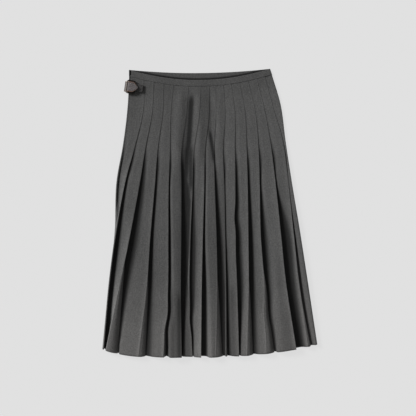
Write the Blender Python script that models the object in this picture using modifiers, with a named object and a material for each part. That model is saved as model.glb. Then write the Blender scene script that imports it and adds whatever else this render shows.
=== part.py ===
"""A knife-pleated wool wrap skirt, laid flat with its front up. Metres, +Z up.

The skirt lies on the floor plane z = 0, its waist towards +Y and its hem towards -Y. The
origin is under the middle of its bounding box. The pleats are sewn down from the waistband
to the hip and open below it. A leather strap comes round the left side from the back and is
fastened in a wire buckle.
"""

import math
from collections import namedtuple

import bmesh
import bpy

MM = 0.001

# Cloth, in millimetres like every size below
WALL = 1.0
LAYER_STEP = 1.45  # from the middle of one pressed layer of a pleat to the next
FOLD_RADIUS = LAYER_STEP / 2
SHORTEST_TURN = 1.8
SEAM_GAP = 0.3

# Places along the skirt, as a share of the way from the waistband seam to the hem
SEAM, YOKE, HIP, UPPER, MIDDLE, LOWER, LOW = 0.0, 0.11, 0.24, 0.386, 0.57, 0.753, 0.96
STATIONS = (SEAM, YOKE, HIP, UPPER, MIDDLE, LOWER, LOW)
FRONT_ROWS = (0, 0.06, 0.13, 0.2, 0.27, 0.36, 0.42, 0.48, 0.54, 0.61, 0.8, 1)
BACK_ROWS = (0, 0.06, 0.13, 0.2, 0.3, 0.42, 0.61, 0.8, 1)

# Outline of the laid skirt, from its middle line, at each station
LEFT_EDGE = (-203, -207, -218, -235, -239.5, -254, -267.5)
RIGHT_EDGE = (155.5, 177.5, 189.5, 204.5, 225, 244, 264.5)
WAIST_MIDDLE = -26
WAIST_HALF = 176.5
WAIST_TOP = 361
WAIST_SLOPE = 0.009  # the right corner lies a little higher than the left
WAIST_FLARE = 5.5  # the band's lower right corner lies this much further out
FRONT_DIP = 27
BACK_DIP = 9
BAND_HEIGHT = 16
HEM_LOW = -360.5
HEM_TURN_X = -40
HEM_RISE_LEFT, HEM_LEFT_POWER = 20, 5
HEM_RISE_RIGHT, HEM_RIGHT_POWER = 31, 2.4
BACK_HEM_SHORTER = 3

# The pleats of the front, from left to right. folds is the folded edge's distance from the
# middle line at each station. gaps is the opening between that edge and the next pleat's
# face, at the four lowest stations. valley is how far right of the edge the pleat's inner
# fold lies near the hem, and rise how high the edge stands beside the others.
Pleat = namedtuple("Pleat", "folds gaps valley rise")
PLEATS = (
    Pleat((-166, -167.5, -187.5, -213.5, -236, -252, -264.5), (6, 10.5, 11, 9), 1, 1.0),
    Pleat((-141, -145, -161.5, -177.5, -200.5, -226, -254), (9, 11.5, 17, 26), 24, 1.1),
    Pleat((-116, -119, -131, -139, -150, -158.5, -175.5), (6, 7.5, 10.5, 20), 14, 1.0),
    Pleat((-92, -98.5, -100.5, -104, -104.5, -105.5, -115), (4.5, 6, 6, 8), 5, 1.0),
    Pleat((-54, -60, -72, -72, -72.5, -73.5, -71.5), (14.5, 14.5, 11, 2.5), -5, 1.2),
    Pleat((-23, -27.5, -40.5, -44, -49.5, -51.5, -45.5), (4.5, 10.5, 11.5, 4.5), -1, 0.7),
    Pleat((-1.5, -3, -13, -15, -18.5, -21, -22.5), (4.5, 6, 11, 12.5), -1, 1.0),
    Pleat((14.5, 14.5, 10, 12, 16, 18, 15.5), (6.5, 12, 15.5, 25), 14, 1.1),
    Pleat((33.5, 37.5, 32.5, 36, 38, 40, 40.5), (4, 4, 5, 6), 2, 0.75),
    Pleat((53, 62, 62.5, 63, 63, 67.5, 71.5), (7.5, 9.5, 10.5, 2.5), -4, 0.95),
    Pleat((73.5, 87.5, 91.5, 94, 95.5, 96.5, 93.5), (7, 11.5, 13.5, 18.5), 13, 1.05),
    Pleat((95, 112.5, 121, 124, 126.5, 136, 140.5), (5, 9.5, 9.5, 19), 17, 1.0),
    Pleat((117, 135.5, 151, 163.5, 176.5, 189.5, 211), (3, 13, 15, 14.5), -3, 1.2),
    Pleat((137.5, 157, 182.5, 195.5, 208.5, 222, 242), (1.5, 4, 7, 11), 5, 0.85),
)
HIP_GAP = 4
OVERLAP = (-8, -10, -15, -12, -7)  # inner fold from the folded edge, at the upper stations
LOWER_OPENING = 0.45  # how far towards its place near the hem the inner fold is at LOWER
RISE = (2 * LAYER_STEP, 2 * LAYER_STEP, 2 * LAYER_STEP, 8.5, 11.5, 12.5, 13.5)
FACE_ROLL = 2.5  # half the width over which a face rolls down into the gap beside it
FACE_DROOP = 2.2
ROLL_SHARE = 0.4
ROLL_FOOT = 0.04
NARROWEST_FACE = 2.5
FOLD_CLEARANCE = 2.2
LAYER_CLEARANCE = 1.4
FOLD_MARGIN = 1
FACE_ROUNDING = 0.35  # how much of its droop a face has halfway to its folded edge
NEAREST_POINTS, FURTHEST_POINT = 0.04, 0.96  # shares of the way along a face

# The two ends of the front, where it turns down to the back
SIDE_RADIUS = 1.2
LEFT_TURN_RISE = (2.9, 2.9, 2.9, 5.5, 2.4, 2.4, 2.4)
RIGHT_TURN_RISE = (2.9, 2.2, 2.0, 6.0, 8.5, 9.0, 9.0)
RIGHT_FACE_END = 1.5  # how far short of its turn the rightmost face is level
RIGHT_TURN_RADIUS = (1.2, 1.1, 1.1, 1.6, 3.0, 3.5, 3.5)
LEFT_VALLEY = 3.4
LEFT_GAP = 5.5
LEFT_FACE_LIFT, LEFT_FACE_FADE = (0.45, 0.52), (0.495, 0.57)  # where it becomes the side wall
LEFT_WALL_RISE = 5.5

# The back, whose pleats lie pressed flat on the floor
BACK_PLEATS = 14
BACK_OVERLAP = 14
BACK_LEVEL = WALL / 2
BACK_STEP = 6
BACK_TOP = BACK_LEVEL + 2 * LAYER_STEP + WALL / 2
BACK_TURN_RADIUS = 1.6
FRONT_BASE = BACK_TOP + SEAM_GAP + WALL / 2 + 0.1
SIDE_SEAM_Z = BACK_TOP + SEAM_GAP / 2

# Soft folds that run down from the waistband: the cloth stands up beside them
Swell = namedtuple("Swell", "top_x low_x height width")
SWELLS = (
    Swell(-118, -125, 3.0, 42),
    Swell(-31, -26, 4.5, 22),
    Swell(62, 70, 3.4, 46),
)
SWELL_END = (0.42, 0.85)

# Puts the middle of the whole skirt's bounding box over the origin
CENTRING = (0.8, 0.3, 0.01)

# Waistband: two layers of cloth with the tops of the pleats between them
BAND_WALL = 3.6
BAND_LEVEL = BAND_WALL / 2 + 0.05
BAND_FRONT_LEVEL = FRONT_BASE + LAYER_STEP
BAND_LEFT_END = -197.5
BAND_OUT = 0.4  # how far the band reaches past the panels at the left
BAND_STOP = 1.2  # how far below the front's level the back's turned end stops
BAND_SEGMENTS = 12
BAND_BEVEL = 0.7

# Strap and buckle at the left side. Along is from the skirt's edge towards its middle
STRAP_ANCHOR = (-203, 316.5)
STRAP_TURN_DEG = -8
STRAP_WIDTH = 25
LEATHER = 2.2
STRAP_ROOT = 36
STRAP_TIP = 22.5
STRAP_POINT = 12
STRAP_POINT_ROWS = (11, 8, 5, 2.5, 0.9, 0)
STRAP_BLUNT = 0.12
STRAP_TAPER = 0.7  # 1 for a straight-sided point, less for a rounder one
STRAP_OUT = -4.6
STRAP_SHOULDER = 4  # the radius that it turns on over the buckle's bar
STRAP_CLEARANCE, STRAP_PAST = 0.35, 0.8  # how far it stays off the buckle's bar: below, beside
STRAP_OVER = 0.8  # how far above the chape it lies
STRAP_LIFT = LEATHER + 0.55
STRAP_LIFT_REACH = 75
STRAP_LIFT_PLACE, STRAP_LIFT_HALF = (-185, 315), (26, 34)
BUCKLE_LENGTH, BUCKLE_WIDTH, BUCKLE_WIRE, BUCKLE_CORNER = 25, 34, 3.4, 5.0
BUCKLE_LEFT = -8.0
BUCKLE_HEIGHT_LEFT, BUCKLE_HEIGHT_RIGHT = 15.9, 15.6
CHAPE_LENGTH, CHAPE_WIDTH, CHAPE_WALL = 20, 18, 1.5
CHAPE_MEETS, CHAPE_BEND, CHAPE_GAP = 6, 3, 0.4  # where its two layers come together

# Finishes
Finish = namedtuple("Finish", "name colour roughness metallic")
WOOL = Finish("charcoal wool", (0.070, 0.070, 0.069), 0.9, 0.0)
HIDE = Finish("dark leather", (0.085, 0.075, 0.074), 0.55, 0.0)
BRASS = Finish("aged brass", (0.16, 0.13, 0.10), 0.4, 0.9)

model = bpy.data.collections.new("pleated_skirt")


def clear_scene():
    """Removes what the scene holds."""
    for obj in list(bpy.data.objects):
        bpy.data.objects.remove(obj, do_unlink=True)
    bpy.context.scene.collection.children.link(model)


def add_empty(name, location, turn_deg=0.0, parent=None):
    """A frame for pieces, placed in millimetres and turned about Z."""
    empty = bpy.data.objects.new(name, None)
    empty.location = [value * MM for value in location]
    empty.rotation_euler = (0, 0, math.radians(turn_deg))
    empty.parent = parent
    model.objects.link(empty)
    return empty


def mix(a, b, share):
    return a + (b - a) * share


def smooth_step(low, high, value):
    share = min(1.0, max(0.0, (value - low) / (high - low)))
    return share * share * (3 - 2 * share)


def along(values, t, stations=STATIONS):
    """A value given at the stations, read at t from a smooth curve through them."""
    n = len(values)
    slopes = []
    for i in range(n):
        a, b = max(i - 1, 0), min(i + 1, n - 1)
        slopes.append((values[b] - values[a]) / (stations[b] - stations[a]))
    i = max(k for k in range(n - 1) if k == 0 or stations[k] <= t)
    width = stations[i + 1] - stations[i]
    s = (t - stations[i]) / width
    if s > 1:
        return values[i + 1] + slopes[i + 1] * (t - stations[i + 1])
    return (
        (2 * s**3 - 3 * s**2 + 1) * values[i]
        + (s**3 - 2 * s**2 + s) * width * slopes[i]
        + (3 * s**2 - 2 * s**3) * values[i + 1]
        + (s**3 - s**2) * width * slopes[i + 1]
    )


# A cross-section is a path through turning circles, like a belt round pulleys.
# turn is +1 for an anticlockwise circle, -1 for a clockwise one and 0 for a plain point.
Circle = namedtuple("Circle", "x z radius turn")


def tangent(a, b):
    """Heading of the straight run from circle a to circle b, and its two ends."""
    reach_a, reach_b = a.turn * a.radius, b.turn * b.radius
    dx, dz = b.x - a.x, b.z - a.z
    across = reach_b - reach_a
    run = math.sqrt(max(dx * dx + dz * dz - across * across, 1e-6))
    heading = math.atan2(dz, dx) - math.atan2(across, run)
    normal = (-math.sin(heading), math.cos(heading))
    return (
        heading,
        (a.x - reach_a * normal[0], a.z - reach_a * normal[1]),
        (b.x - reach_b * normal[0], b.z - reach_b * normal[1]),
    )


def arc(circle, heading_in, heading_out, steps):
    """Points round a circle, from the heading that the path comes in on to the one it leaves on.

    A slight turn's points reach a little way along the runs beside it.
    """
    turned = (heading_out - heading_in + math.pi) % (2 * math.pi) - math.pi
    if circle.turn * turned < -0.8:
        turned += circle.turn * 2 * math.pi
    reach = circle.turn * circle.radius
    spread = max(0, SHORTEST_TURN - circle.radius * abs(turned))
    points = []
    for k in range(steps + 1):
        heading = heading_in + turned * k / steps
        ahead = (k / steps - 0.5) * spread
        x = circle.x + reach * math.sin(heading) + ahead * math.cos(heading)
        z = circle.z - reach * math.cos(heading) + ahead * math.sin(heading)
        points.append((x, z))
    return points


def belt(circles, steps, fill=None, inner_steps=None):
    """The path round the circles. fill(i, start, end) gives points on the run after circle i."""
    runs = [tangent(a, b) for a, b in zip(circles, circles[1:])]
    points = [runs[0][1]]
    for i, circle in enumerate(circles[1:-1], start=1):
        count = inner_steps if inner_steps and circle.turn > 0 else steps
        points += arc(circle, runs[i - 1][0], runs[i][0], count)
        if fill:
            points += fill(i, runs[i][1], runs[i][2])
    return points + [runs[-1][2]]


def hem_y(x):
    side = x - HEM_TURN_X
    if side > 0:
        reach, rise, power = RIGHT_EDGE[-1] - HEM_TURN_X, HEM_RISE_RIGHT, HEM_RIGHT_POWER
    else:
        reach, rise, power = HEM_TURN_X - LEFT_EDGE[-1], HEM_RISE_LEFT, HEM_LEFT_POWER
    return HEM_LOW + rise * (abs(side) / reach) ** power


def waist_y(x, dip):
    """The waistband's top edge, which sags by dip in the middle."""
    share = min(1.0, abs(x - WAIST_MIDDLE) / WAIST_HALF)
    return WAIST_TOP + WAIST_SLOPE * (x - WAIST_MIDDLE) - dip * (1 - share * share)


def down_y(x, t, dip, shorter=0.0):
    """Where a point of a panel lies, t of the way from the waistband seam to the hem."""
    top = waist_y(x, dip) - BAND_HEIGHT - SEAM_GAP
    return mix(top, hem_y(x) + shorter, t)


def strap_lift(x, y):
    """The cloth over the strap's root stands clear of it."""
    past = (abs(a - b) - half for a, b, half in zip((x, y), STRAP_LIFT_PLACE, STRAP_LIFT_HALF))
    away = math.hypot(*(max(0.0, distance) for distance in past))
    return STRAP_LIFT * (1 - smooth_step(0, STRAP_LIFT_REACH, away))


def swell(x, t):
    """Height that the soft folds add to the front."""
    fade = 1 - smooth_step(SWELL_END[0], SWELL_END[1], t)
    total = 0.0
    for fold in SWELLS:
        middle = mix(fold.top_x, fold.low_x, t / SWELL_END[1])
        total += fold.height * math.exp(-(((x - middle) / fold.width) ** 2))
    return total * fade * smooth_step(-0.12, 0.1, t)


def front_circles(t):
    """The folds of the front at t, and the lower and upper end of each face's roll."""
    left, right = along(LEFT_EDGE, t), along(RIGHT_EDGE, t)
    opened = smooth_step(HIP - 0.01, UPPER, t)
    lifted, faded = smooth_step(*LEFT_FACE_LIFT, t), smooth_step(*LEFT_FACE_FADE, t)
    edge = left + WALL / 2
    turn_z = FRONT_BASE + along(LEFT_TURN_RISE, t) - SIDE_RADIUS
    first_x = mix(edge + LEFT_VALLEY + FOLD_RADIUS, edge - FOLD_RADIUS, faded)
    first_z = FRONT_BASE + mix(FOLD_RADIUS, LEFT_WALL_RISE, lifted)
    circles = [
        Circle(edge, SIDE_SEAM_Z + SEAM_GAP / 2, 0, 0),
        Circle(edge + SIDE_RADIUS, turn_z, SIDE_RADIUS, -1),
        Circle(first_x, first_z, FOLD_RADIUS, 1),
    ]
    folds = [along(pleat.folds, t) for pleat in PLEATS]
    starts = [edge + LEFT_GAP]
    for pleat, fold in zip(PLEATS, folds):
        starts.append(fold + along((0, 0, HIP_GAP, *pleat.gaps), t))
    rolls = []
    for number, (pleat, fold) in enumerate(zip(PLEATS, folds)):
        start = min(starts[number], fold - NARROWEST_FACE)
        roll = min(FACE_ROLL, ROLL_SHARE * (fold - start))
        high = start + roll
        if number == 0:
            high = mix(high, edge + SIDE_RADIUS, faded)
        lower_valley = mix(OVERLAP[-1], pleat.valley, LOWER_OPENING)
        overlap = along((*OVERLAP, lower_valley, pleat.valley), t)
        valley = max(fold + overlap, high + mix(LAYER_CLEARANCE, FOLD_CLEARANCE, opened))
        pressed = max(folds[number - 1] + FOLD_MARGIN if number else start, edge)
        low_end = mix(pressed, start - roll, opened)
        rolls.append((low_end, mix(valley - LAYER_CLEARANCE, high, opened)))
        height = 2 * LAYER_STEP + max(0, along(RISE, t) - 2 * LAYER_STEP) * pleat.rise
        circles.append(Circle(fold - FOLD_RADIUS, FRONT_BASE + height - FOLD_RADIUS, FOLD_RADIUS, -1))
        circles.append(Circle(valley + FOLD_RADIUS, FRONT_BASE + FOLD_RADIUS, FOLD_RADIUS, 1))
    radius = along(RIGHT_TURN_RADIUS, t)
    edge = right - WALL / 2
    last = min(max(starts[-1], circles[-1].x + FACE_ROLL), edge - radius - FOLD_MARGIN)
    low_end = mix(folds[-1] + FOLD_MARGIN, last - FACE_ROLL / 2, opened)
    rolls.append((low_end, mix(edge - radius - RIGHT_FACE_END, last + FOLD_MARGIN, opened)))
    circles.append(
        Circle(edge - radius, FRONT_BASE + along(RIGHT_TURN_RISE, t) - radius, radius, -1)
    )
    circles.append(Circle(edge, SIDE_SEAM_Z + SEAM_GAP / 2, 0, 0))
    return circles, rolls


def front_section(t):
    """The front's cross-section at t: its middle line as (x, z)."""
    circles, rolls = front_circles(t)
    droop = FACE_DROOP * smooth_step(HIP, UPPER, t)
    faded = smooth_step(*LEFT_FACE_FADE, t)

    def face(i, start, end):
        """Three points on the face after an inner fold: where it rolls up, and on its top."""
        if i % 2 == 1 or i == len(circles) - 2:
            return []
        low, high = rolls[i // 2 - 1]
        straight = faded if i == 2 else 0
        top = end[1] - start[1]
        wanted = (
            (low, start[1] + ROLL_FOOT * top),
            (high, end[1] - droop),
            (mix(high, end[0], 0.5), end[1] - FACE_ROUNDING * droop),
        )
        points = []
        for k, (x, z) in enumerate(wanted, start=1):
            share = (x - start[0]) / max(end[0] - start[0], FOLD_RADIUS)
            share = min(FURTHEST_POINT, max(NEAREST_POINTS * k, share))
            x = mix(start[0], end[0], mix(share, k / 4, straight))
            points.append((x, mix(z, start[1] + top * k / 4, straight)))
        return points

    return belt(circles, 3, face, 2)


def back_section(t):
    """The back's cross-section at t, its outer side down on the floor."""
    left, right = along(LEFT_EDGE, t) + WALL / 2, along(RIGHT_EDGE, t) - WALL / 2
    high = SIDE_SEAM_Z - SEAM_GAP / 2
    circles = [
        Circle(-right, high, 0, 0),
        Circle(-right + BACK_TURN_RADIUS, BACK_LEVEL + BACK_TURN_RADIUS, BACK_TURN_RADIUS, 1),
    ]
    pitch = (right - left) / (BACK_PLEATS + 1)
    for k in range(1, BACK_PLEATS + 1):
        fold = -right + pitch * (k + 0.3)
        level = BACK_LEVEL + FOLD_RADIUS
        circles += [
            Circle(fold - FOLD_RADIUS, level, FOLD_RADIUS, 1),
            Circle(fold - BACK_OVERLAP + FOLD_RADIUS, level + LAYER_STEP, FOLD_RADIUS, -1),
            Circle(fold + 1, BACK_LEVEL + 2 * LAYER_STEP, 0, 0),
            Circle(fold + 1 + BACK_STEP, BACK_LEVEL, 0, 0),
        ]
    circles += [
        Circle(-left - BACK_TURN_RADIUS, BACK_LEVEL + BACK_TURN_RADIUS, BACK_TURN_RADIUS, 1),
        Circle(-left, high, 0, 0),
    ]
    runs = [tangent(a, b) for a, b in zip(circles, circles[1:])]
    points = [runs[0][1]]
    for i, circle in enumerate(circles[1:-1], start=1):
        if circle.turn:
            points += arc(circle, runs[i - 1][0], runs[i][0], 2)
        else:
            points.append((circle.x, circle.z))
    points.append(runs[-1][2])
    return [(-x, z) for x, z in points]


def sheet_mesh(name, columns, rows, place):
    """A grid whose point in column i and row j goes to place(i, j), in millimetres."""
    mesh = bpy.data.meshes.new(name)
    grid = bmesh.new()
    bmesh.ops.create_grid(grid, x_segments=columns - 1, y_segments=rows - 1, size=1)
    for vertex in grid.verts:
        i = round((vertex.co.x + 1) / 2 * (columns - 1))
        j = round((vertex.co.y + 1) / 2 * (rows - 1))
        vertex.co = [value * MM for value in place(i, j)]
    grid.to_mesh(mesh)
    grid.free()
    return mesh


def add_object(name, data, finish, parent):
    """An object with a material of its own in that finish."""
    obj = bpy.data.objects.new(name, data)
    material = bpy.data.materials.new(f"{name} {finish.name}")
    material.use_nodes = True
    shader = material.node_tree.nodes["Principled BSDF"]
    shader.inputs["Base Color"].default_value = (*finish.colour, 1)
    shader.inputs["Roughness"].default_value = finish.roughness
    shader.inputs["Metallic"].default_value = finish.metallic
    data.materials.append(material)
    obj.parent = parent
    model.objects.link(obj)
    return obj


def thicken(obj, thickness):
    """A wall of even thickness with the sheet in its middle."""
    solid = obj.modifiers.new("wall", "SOLIDIFY")
    solid.thickness = thickness * MM
    solid.offset = 0
    solid.use_even_offset = True
    solid.use_quality_normals = False


def round_edges(obj, width):
    bevel = obj.modifiers.new("rounded", "BEVEL")
    bevel.width = width * MM
    bevel.segments = 1
    bevel.limit_method = "ANGLE"
    bevel.angle_limit = math.radians(50)


def make_front(frame):
    """The pleated front, with its two soft folds below the waistband."""
    sections = [front_section(t) for t in FRONT_ROWS]

    def place(i, j):
        x, z = sections[-1 - j][i]
        t = FRONT_ROWS[-1 - j]
        y = down_y(x, t, FRONT_DIP)
        # Only the sewn side edges stay down on the back
        inward = smooth_step(0, 25, min(x - sections[-1 - j][0][0], sections[-1 - j][-1][0] - x))
        return x, y, z + swell(x, t) * inward + strap_lift(x, y)

    mesh = sheet_mesh("front", len(sections[0]), len(FRONT_ROWS), place)
    thicken(add_object("front", mesh, WOOL, frame), WALL)


def make_back(frame):
    """The pleated back, pressed flat on the floor."""
    sections = [back_section(t) for t in BACK_ROWS]

    def place(i, j):
        x, z = sections[j][i]
        y = down_y(x, BACK_ROWS[j], BACK_DIP, BACK_HEM_SHORTER)
        return x, y, z + strap_lift(x, y)

    mesh = sheet_mesh("back", len(sections[0]), len(BACK_ROWS), place)
    thicken(add_object("back", mesh, WOOL, frame), WALL)


def make_waistband(frame):
    """One band from the back's left end round the right side to the front's free end."""
    left, right = LEFT_EDGE[0] - BAND_OUT + BAND_WALL / 2, WAIST_MIDDLE + WAIST_HALF - BAND_WALL / 2
    front = BAND_FRONT_LEVEL
    radius = (front - BAND_LEVEL) / 2
    path = [(left, front - BAND_STOP, 0.0), (left, BAND_LEVEL + radius, 0.0)]
    path += [
        (left + radius * (1 - math.cos(a)), BAND_LEVEL + radius * (1 - math.sin(a)), 0.0)
        for a in (math.radians(d) for d in (30, 60, 90))
    ]
    start, end = left + radius, right - radius
    path += [(mix(start, end, k / BAND_SEGMENTS), BAND_LEVEL, 0.0) for k in range(1, BAND_SEGMENTS + 1)]
    path += [
        (end + radius * math.sin(a), BAND_LEVEL + radius * (1 - math.cos(a)), (1 - math.cos(a)) / 2)
        for a in (math.radians(d) for d in (30, 60, 90, 120, 150, 180))
    ]
    path += [(mix(end, BAND_LEFT_END, k / BAND_SEGMENTS), front, 1.0) for k in range(1, BAND_SEGMENTS + 1)]

    def place(i, j):
        x, z, front_share = path[i]
        x += WAIST_FLARE * j * max(0.0, (x - WAIST_MIDDLE) / WAIST_HALF) ** 3
        y = waist_y(x, mix(BACK_DIP, FRONT_DIP, front_share)) - BAND_HEIGHT * j
        inward = smooth_step(0, 40, end - x) * smooth_step(0, 25, x - BAND_LEFT_END)
        return x, y, z + front_share * inward * swell(x, 0) + strap_lift(x, y)

    band = add_object("waistband", sheet_mesh("waistband", len(path), 2, place), WOOL, frame)
    thicken(band, BAND_WALL)
    round_edges(band, BAND_BEVEL)


def strap_path():
    """The strap's middle line from its root under the back to its tip over the front."""
    low = LEATHER / 2 + 0.05
    round_bar = BUCKLE_WIRE / 2 + LEATHER / 2 + STRAP_CLEARANCE
    under_bar = BUCKLE_HEIGHT_LEFT - round_bar
    bend = (under_bar - low) / 2
    over_heel = BUCKLE_HEIGHT_RIGHT + BUCKLE_WIRE / 2 + CHAPE_WALL + LEATHER / 2 + STRAP_OVER
    bar_x = BUCKLE_LEFT + BUCKLE_WIRE / 2 + STRAP_PAST
    circles = [
        Circle(STRAP_ROOT, low, 0, 0),
        Circle(STRAP_OUT, low + bend, bend, -1),
        Circle(bar_x, BUCKLE_HEIGHT_LEFT, round_bar, 1),
        Circle(bar_x + round_bar + STRAP_SHOULDER, over_heel - STRAP_SHOULDER, STRAP_SHOULDER, -1),
        Circle(STRAP_TIP, over_heel, 0, 0),
    ]
    path = belt(circles, 5)
    tip_z = path.pop()[1]
    return path + [(STRAP_TIP - back, tip_z) for back in STRAP_POINT_ROWS]


def make_strap(frame):
    """Leather strap with a pointed tip, through the buckle."""
    path = strap_path()
    across = (-1, -0.5, 0, 0.5, 1)

    def place(i, j):
        x, z = path[i]
        narrowed = 1.0
        if i >= len(path) - len(STRAP_POINT_ROWS):
            narrowed = max(STRAP_BLUNT, ((STRAP_TIP - x) / STRAP_POINT) ** STRAP_TAPER)
        return x, across[j] * narrowed * STRAP_WIDTH / 2, z

    mesh = sheet_mesh("strap", len(path), len(across), place)
    thicken(add_object("strap", mesh, HIDE, frame), LEATHER)


def loop_points(length, width, corner, steps=4):
    """A rounded rectangle's centre line."""
    points = []
    for cx, cy, start in (
        (length / 2, width / 2, 0),
        (-length / 2, width / 2, 90),
        (-length / 2, -width / 2, 180),
        (length / 2, -width / 2, 270),
    ):
        sx, sy = math.copysign(corner, cx), math.copysign(corner, cy)
        for k in range(steps + 1):
            a = math.radians(start + 90 * k / steps)
            points.append((cx - sx + corner * math.cos(a), cy - sy + corner * math.sin(a)))
    return points


def make_buckle(frame):
    """A rounded wire frame, from past the skirt's edge to the chape."""
    length, width = BUCKLE_LENGTH - BUCKLE_WIRE, BUCKLE_WIDTH - BUCKLE_WIRE
    middle = BUCKLE_LEFT + BUCKLE_LENGTH / 2
    points = loop_points(length, width, BUCKLE_CORNER)
    curve = bpy.data.curves.new("buckle", "CURVE")
    curve.dimensions = "3D"
    curve.bevel_depth = BUCKLE_WIRE / 2 * MM
    curve.bevel_resolution = 2
    spline = curve.splines.new("POLY")
    spline.points.add(len(points) - 1)
    for point, (x, y) in zip(spline.points, points):
        z = mix(BUCKLE_HEIGHT_LEFT, BUCKLE_HEIGHT_RIGHT, x / length + 0.5)
        point.co = ((middle + x) * MM, y * MM, z * MM, 1)
    spline.use_cyclic_u = True
    add_object("buckle", curve, BRASS, frame)


def make_chape(frame):
    """The leather that holds the buckle: folded round its heel bar and sewn to the front."""
    heel_x = BUCKLE_LEFT + BUCKLE_LENGTH - BUCKLE_WIRE / 2
    turn = BUCKLE_WIRE / 2 + CHAPE_WALL / 2 + SEAM_GAP
    low = BUCKLE_HEIGHT_RIGHT - turn
    high = low + CHAPE_WALL + CHAPE_GAP
    circles = [
        Circle(heel_x + CHAPE_LENGTH, low, 0, 0),
        Circle(heel_x, BUCKLE_HEIGHT_RIGHT, turn, -1),
        Circle(heel_x + CHAPE_MEETS, high + CHAPE_BEND, CHAPE_BEND, 1),
        Circle(heel_x + CHAPE_LENGTH, high, 0, 0),
    ]
    path = belt(circles, 6)

    def place(i, j):
        x, z = path[i]
        return x, (j - 0.5) * CHAPE_WIDTH, z

    mesh = sheet_mesh("chape", len(path), 2, place)
    thicken(add_object("chape", mesh, HIDE, frame), CHAPE_WALL)


def main():
    clear_scene()
    skirt = add_empty("skirt_frame", CENTRING)
    make_front(skirt)
    make_back(skirt)
    make_waistband(skirt)
    fastening = add_empty("strap_frame", (*STRAP_ANCHOR, 0), STRAP_TURN_DEG, skirt)
    make_strap(fastening)
    make_buckle(fastening)
    make_chape(fastening)


main()
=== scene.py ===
"""A charcoal wool wrap skirt with knife pleats, laid flat with its front up.

Each piece is a fine sheet or leather part on the form of its solid. Sizes are millimetres
until a mesh is made. The waist is towards +Y, the hem towards -Y and the front up.
"""

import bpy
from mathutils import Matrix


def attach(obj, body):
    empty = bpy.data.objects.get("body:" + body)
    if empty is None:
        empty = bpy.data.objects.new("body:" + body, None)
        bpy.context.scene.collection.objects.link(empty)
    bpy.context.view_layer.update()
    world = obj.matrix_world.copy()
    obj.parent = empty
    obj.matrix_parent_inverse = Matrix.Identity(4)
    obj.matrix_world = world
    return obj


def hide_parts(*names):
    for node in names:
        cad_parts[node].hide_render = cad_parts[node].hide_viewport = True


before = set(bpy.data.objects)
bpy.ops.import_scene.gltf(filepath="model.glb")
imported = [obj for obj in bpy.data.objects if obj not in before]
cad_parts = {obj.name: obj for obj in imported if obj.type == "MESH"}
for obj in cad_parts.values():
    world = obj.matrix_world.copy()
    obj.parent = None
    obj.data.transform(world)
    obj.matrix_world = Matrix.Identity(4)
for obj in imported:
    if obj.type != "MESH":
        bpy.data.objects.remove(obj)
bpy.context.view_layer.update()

import logging
import math
from collections.abc import Callable, Sequence
from dataclasses import dataclass, field
from enum import Enum

import bmesh
import bpy
import numpy as np
from mathutils import Matrix, Vector, noise

MM = 0.001
CLOTH_MAP = "cloth"
TINY = 1e-6
METRE = 1000  # in millimetres
SHARP_DEG = 50
LONG_WAY = -0.8  # a turn that seems to go back by more than this goes the long way round
FLOOR_GAP = 0.05  # how far the band and the strap stay clear of the floor, in millimetres

Point = tuple[float, float]
Number = float | np.ndarray
log = logging.getLogger("skirt")


def mix(a: Number, b: Number, share: Number) -> Number:
    """The value share of the way from a to b."""
    return a + (b - a) * share


def smooth_step(low: float, high: float, value: Number) -> Number:
    """0 below low, 1 above high and a soft ramp between them."""
    share = np.clip((value - low) / (high - low), 0.0, 1.0)
    return share * share * (3 - 2 * share)


def eased(span: Point, t: float) -> float:
    """How far t has come through a span, from 0 to 1 with soft ends."""
    return float(smooth_step(*span, t))


def hermite(
    s: Number, width: Number, a: Number, b: Number, slope_a: Number, slope_b: Number
) -> Number:
    """A smooth curve with a slope at each end.

    Args:
        s: The share of the way from its start to its end.
        width: How far apart its ends are.
        a: Its value at the start.
        b: Its value at the end.
        slope_a: Its slope at the start.
        slope_b: Its slope at the end.

    Returns:
        Its value at s.
    """
    return (
        (2 * s**3 - 3 * s**2 + 1) * a
        + (s**3 - 2 * s**2 + s) * width * slope_a
        + (3 * s**2 - 2 * s**3) * b
        + (s**3 - s**2) * width * slope_b
    )


def along(values: Sequence[float], t: float, stations: Sequence[float]) -> float:
    """A value given at the stations, read from a smooth curve through them.

    Args:
        values: The value at each station.
        t: Where to read it.
        stations: The stations, in rising order.

    Returns:
        The value at t.
    """
    last = len(values) - 1
    slopes = []
    for i in range(last + 1):
        a, b = max(i - 1, 0), min(i + 1, last)
        slopes.append((values[b] - values[a]) / (stations[b] - stations[a]))
    i = max(k for k in range(last) if k == 0 or stations[k] <= t)
    width = stations[i + 1] - stations[i]
    s = (t - stations[i]) / width
    if s > 1:
        return values[i + 1] + slopes[i + 1] * (t - stations[i + 1])
    return hermite(s, width, values[i], values[i + 1], slopes[i], slopes[i + 1])


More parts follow.
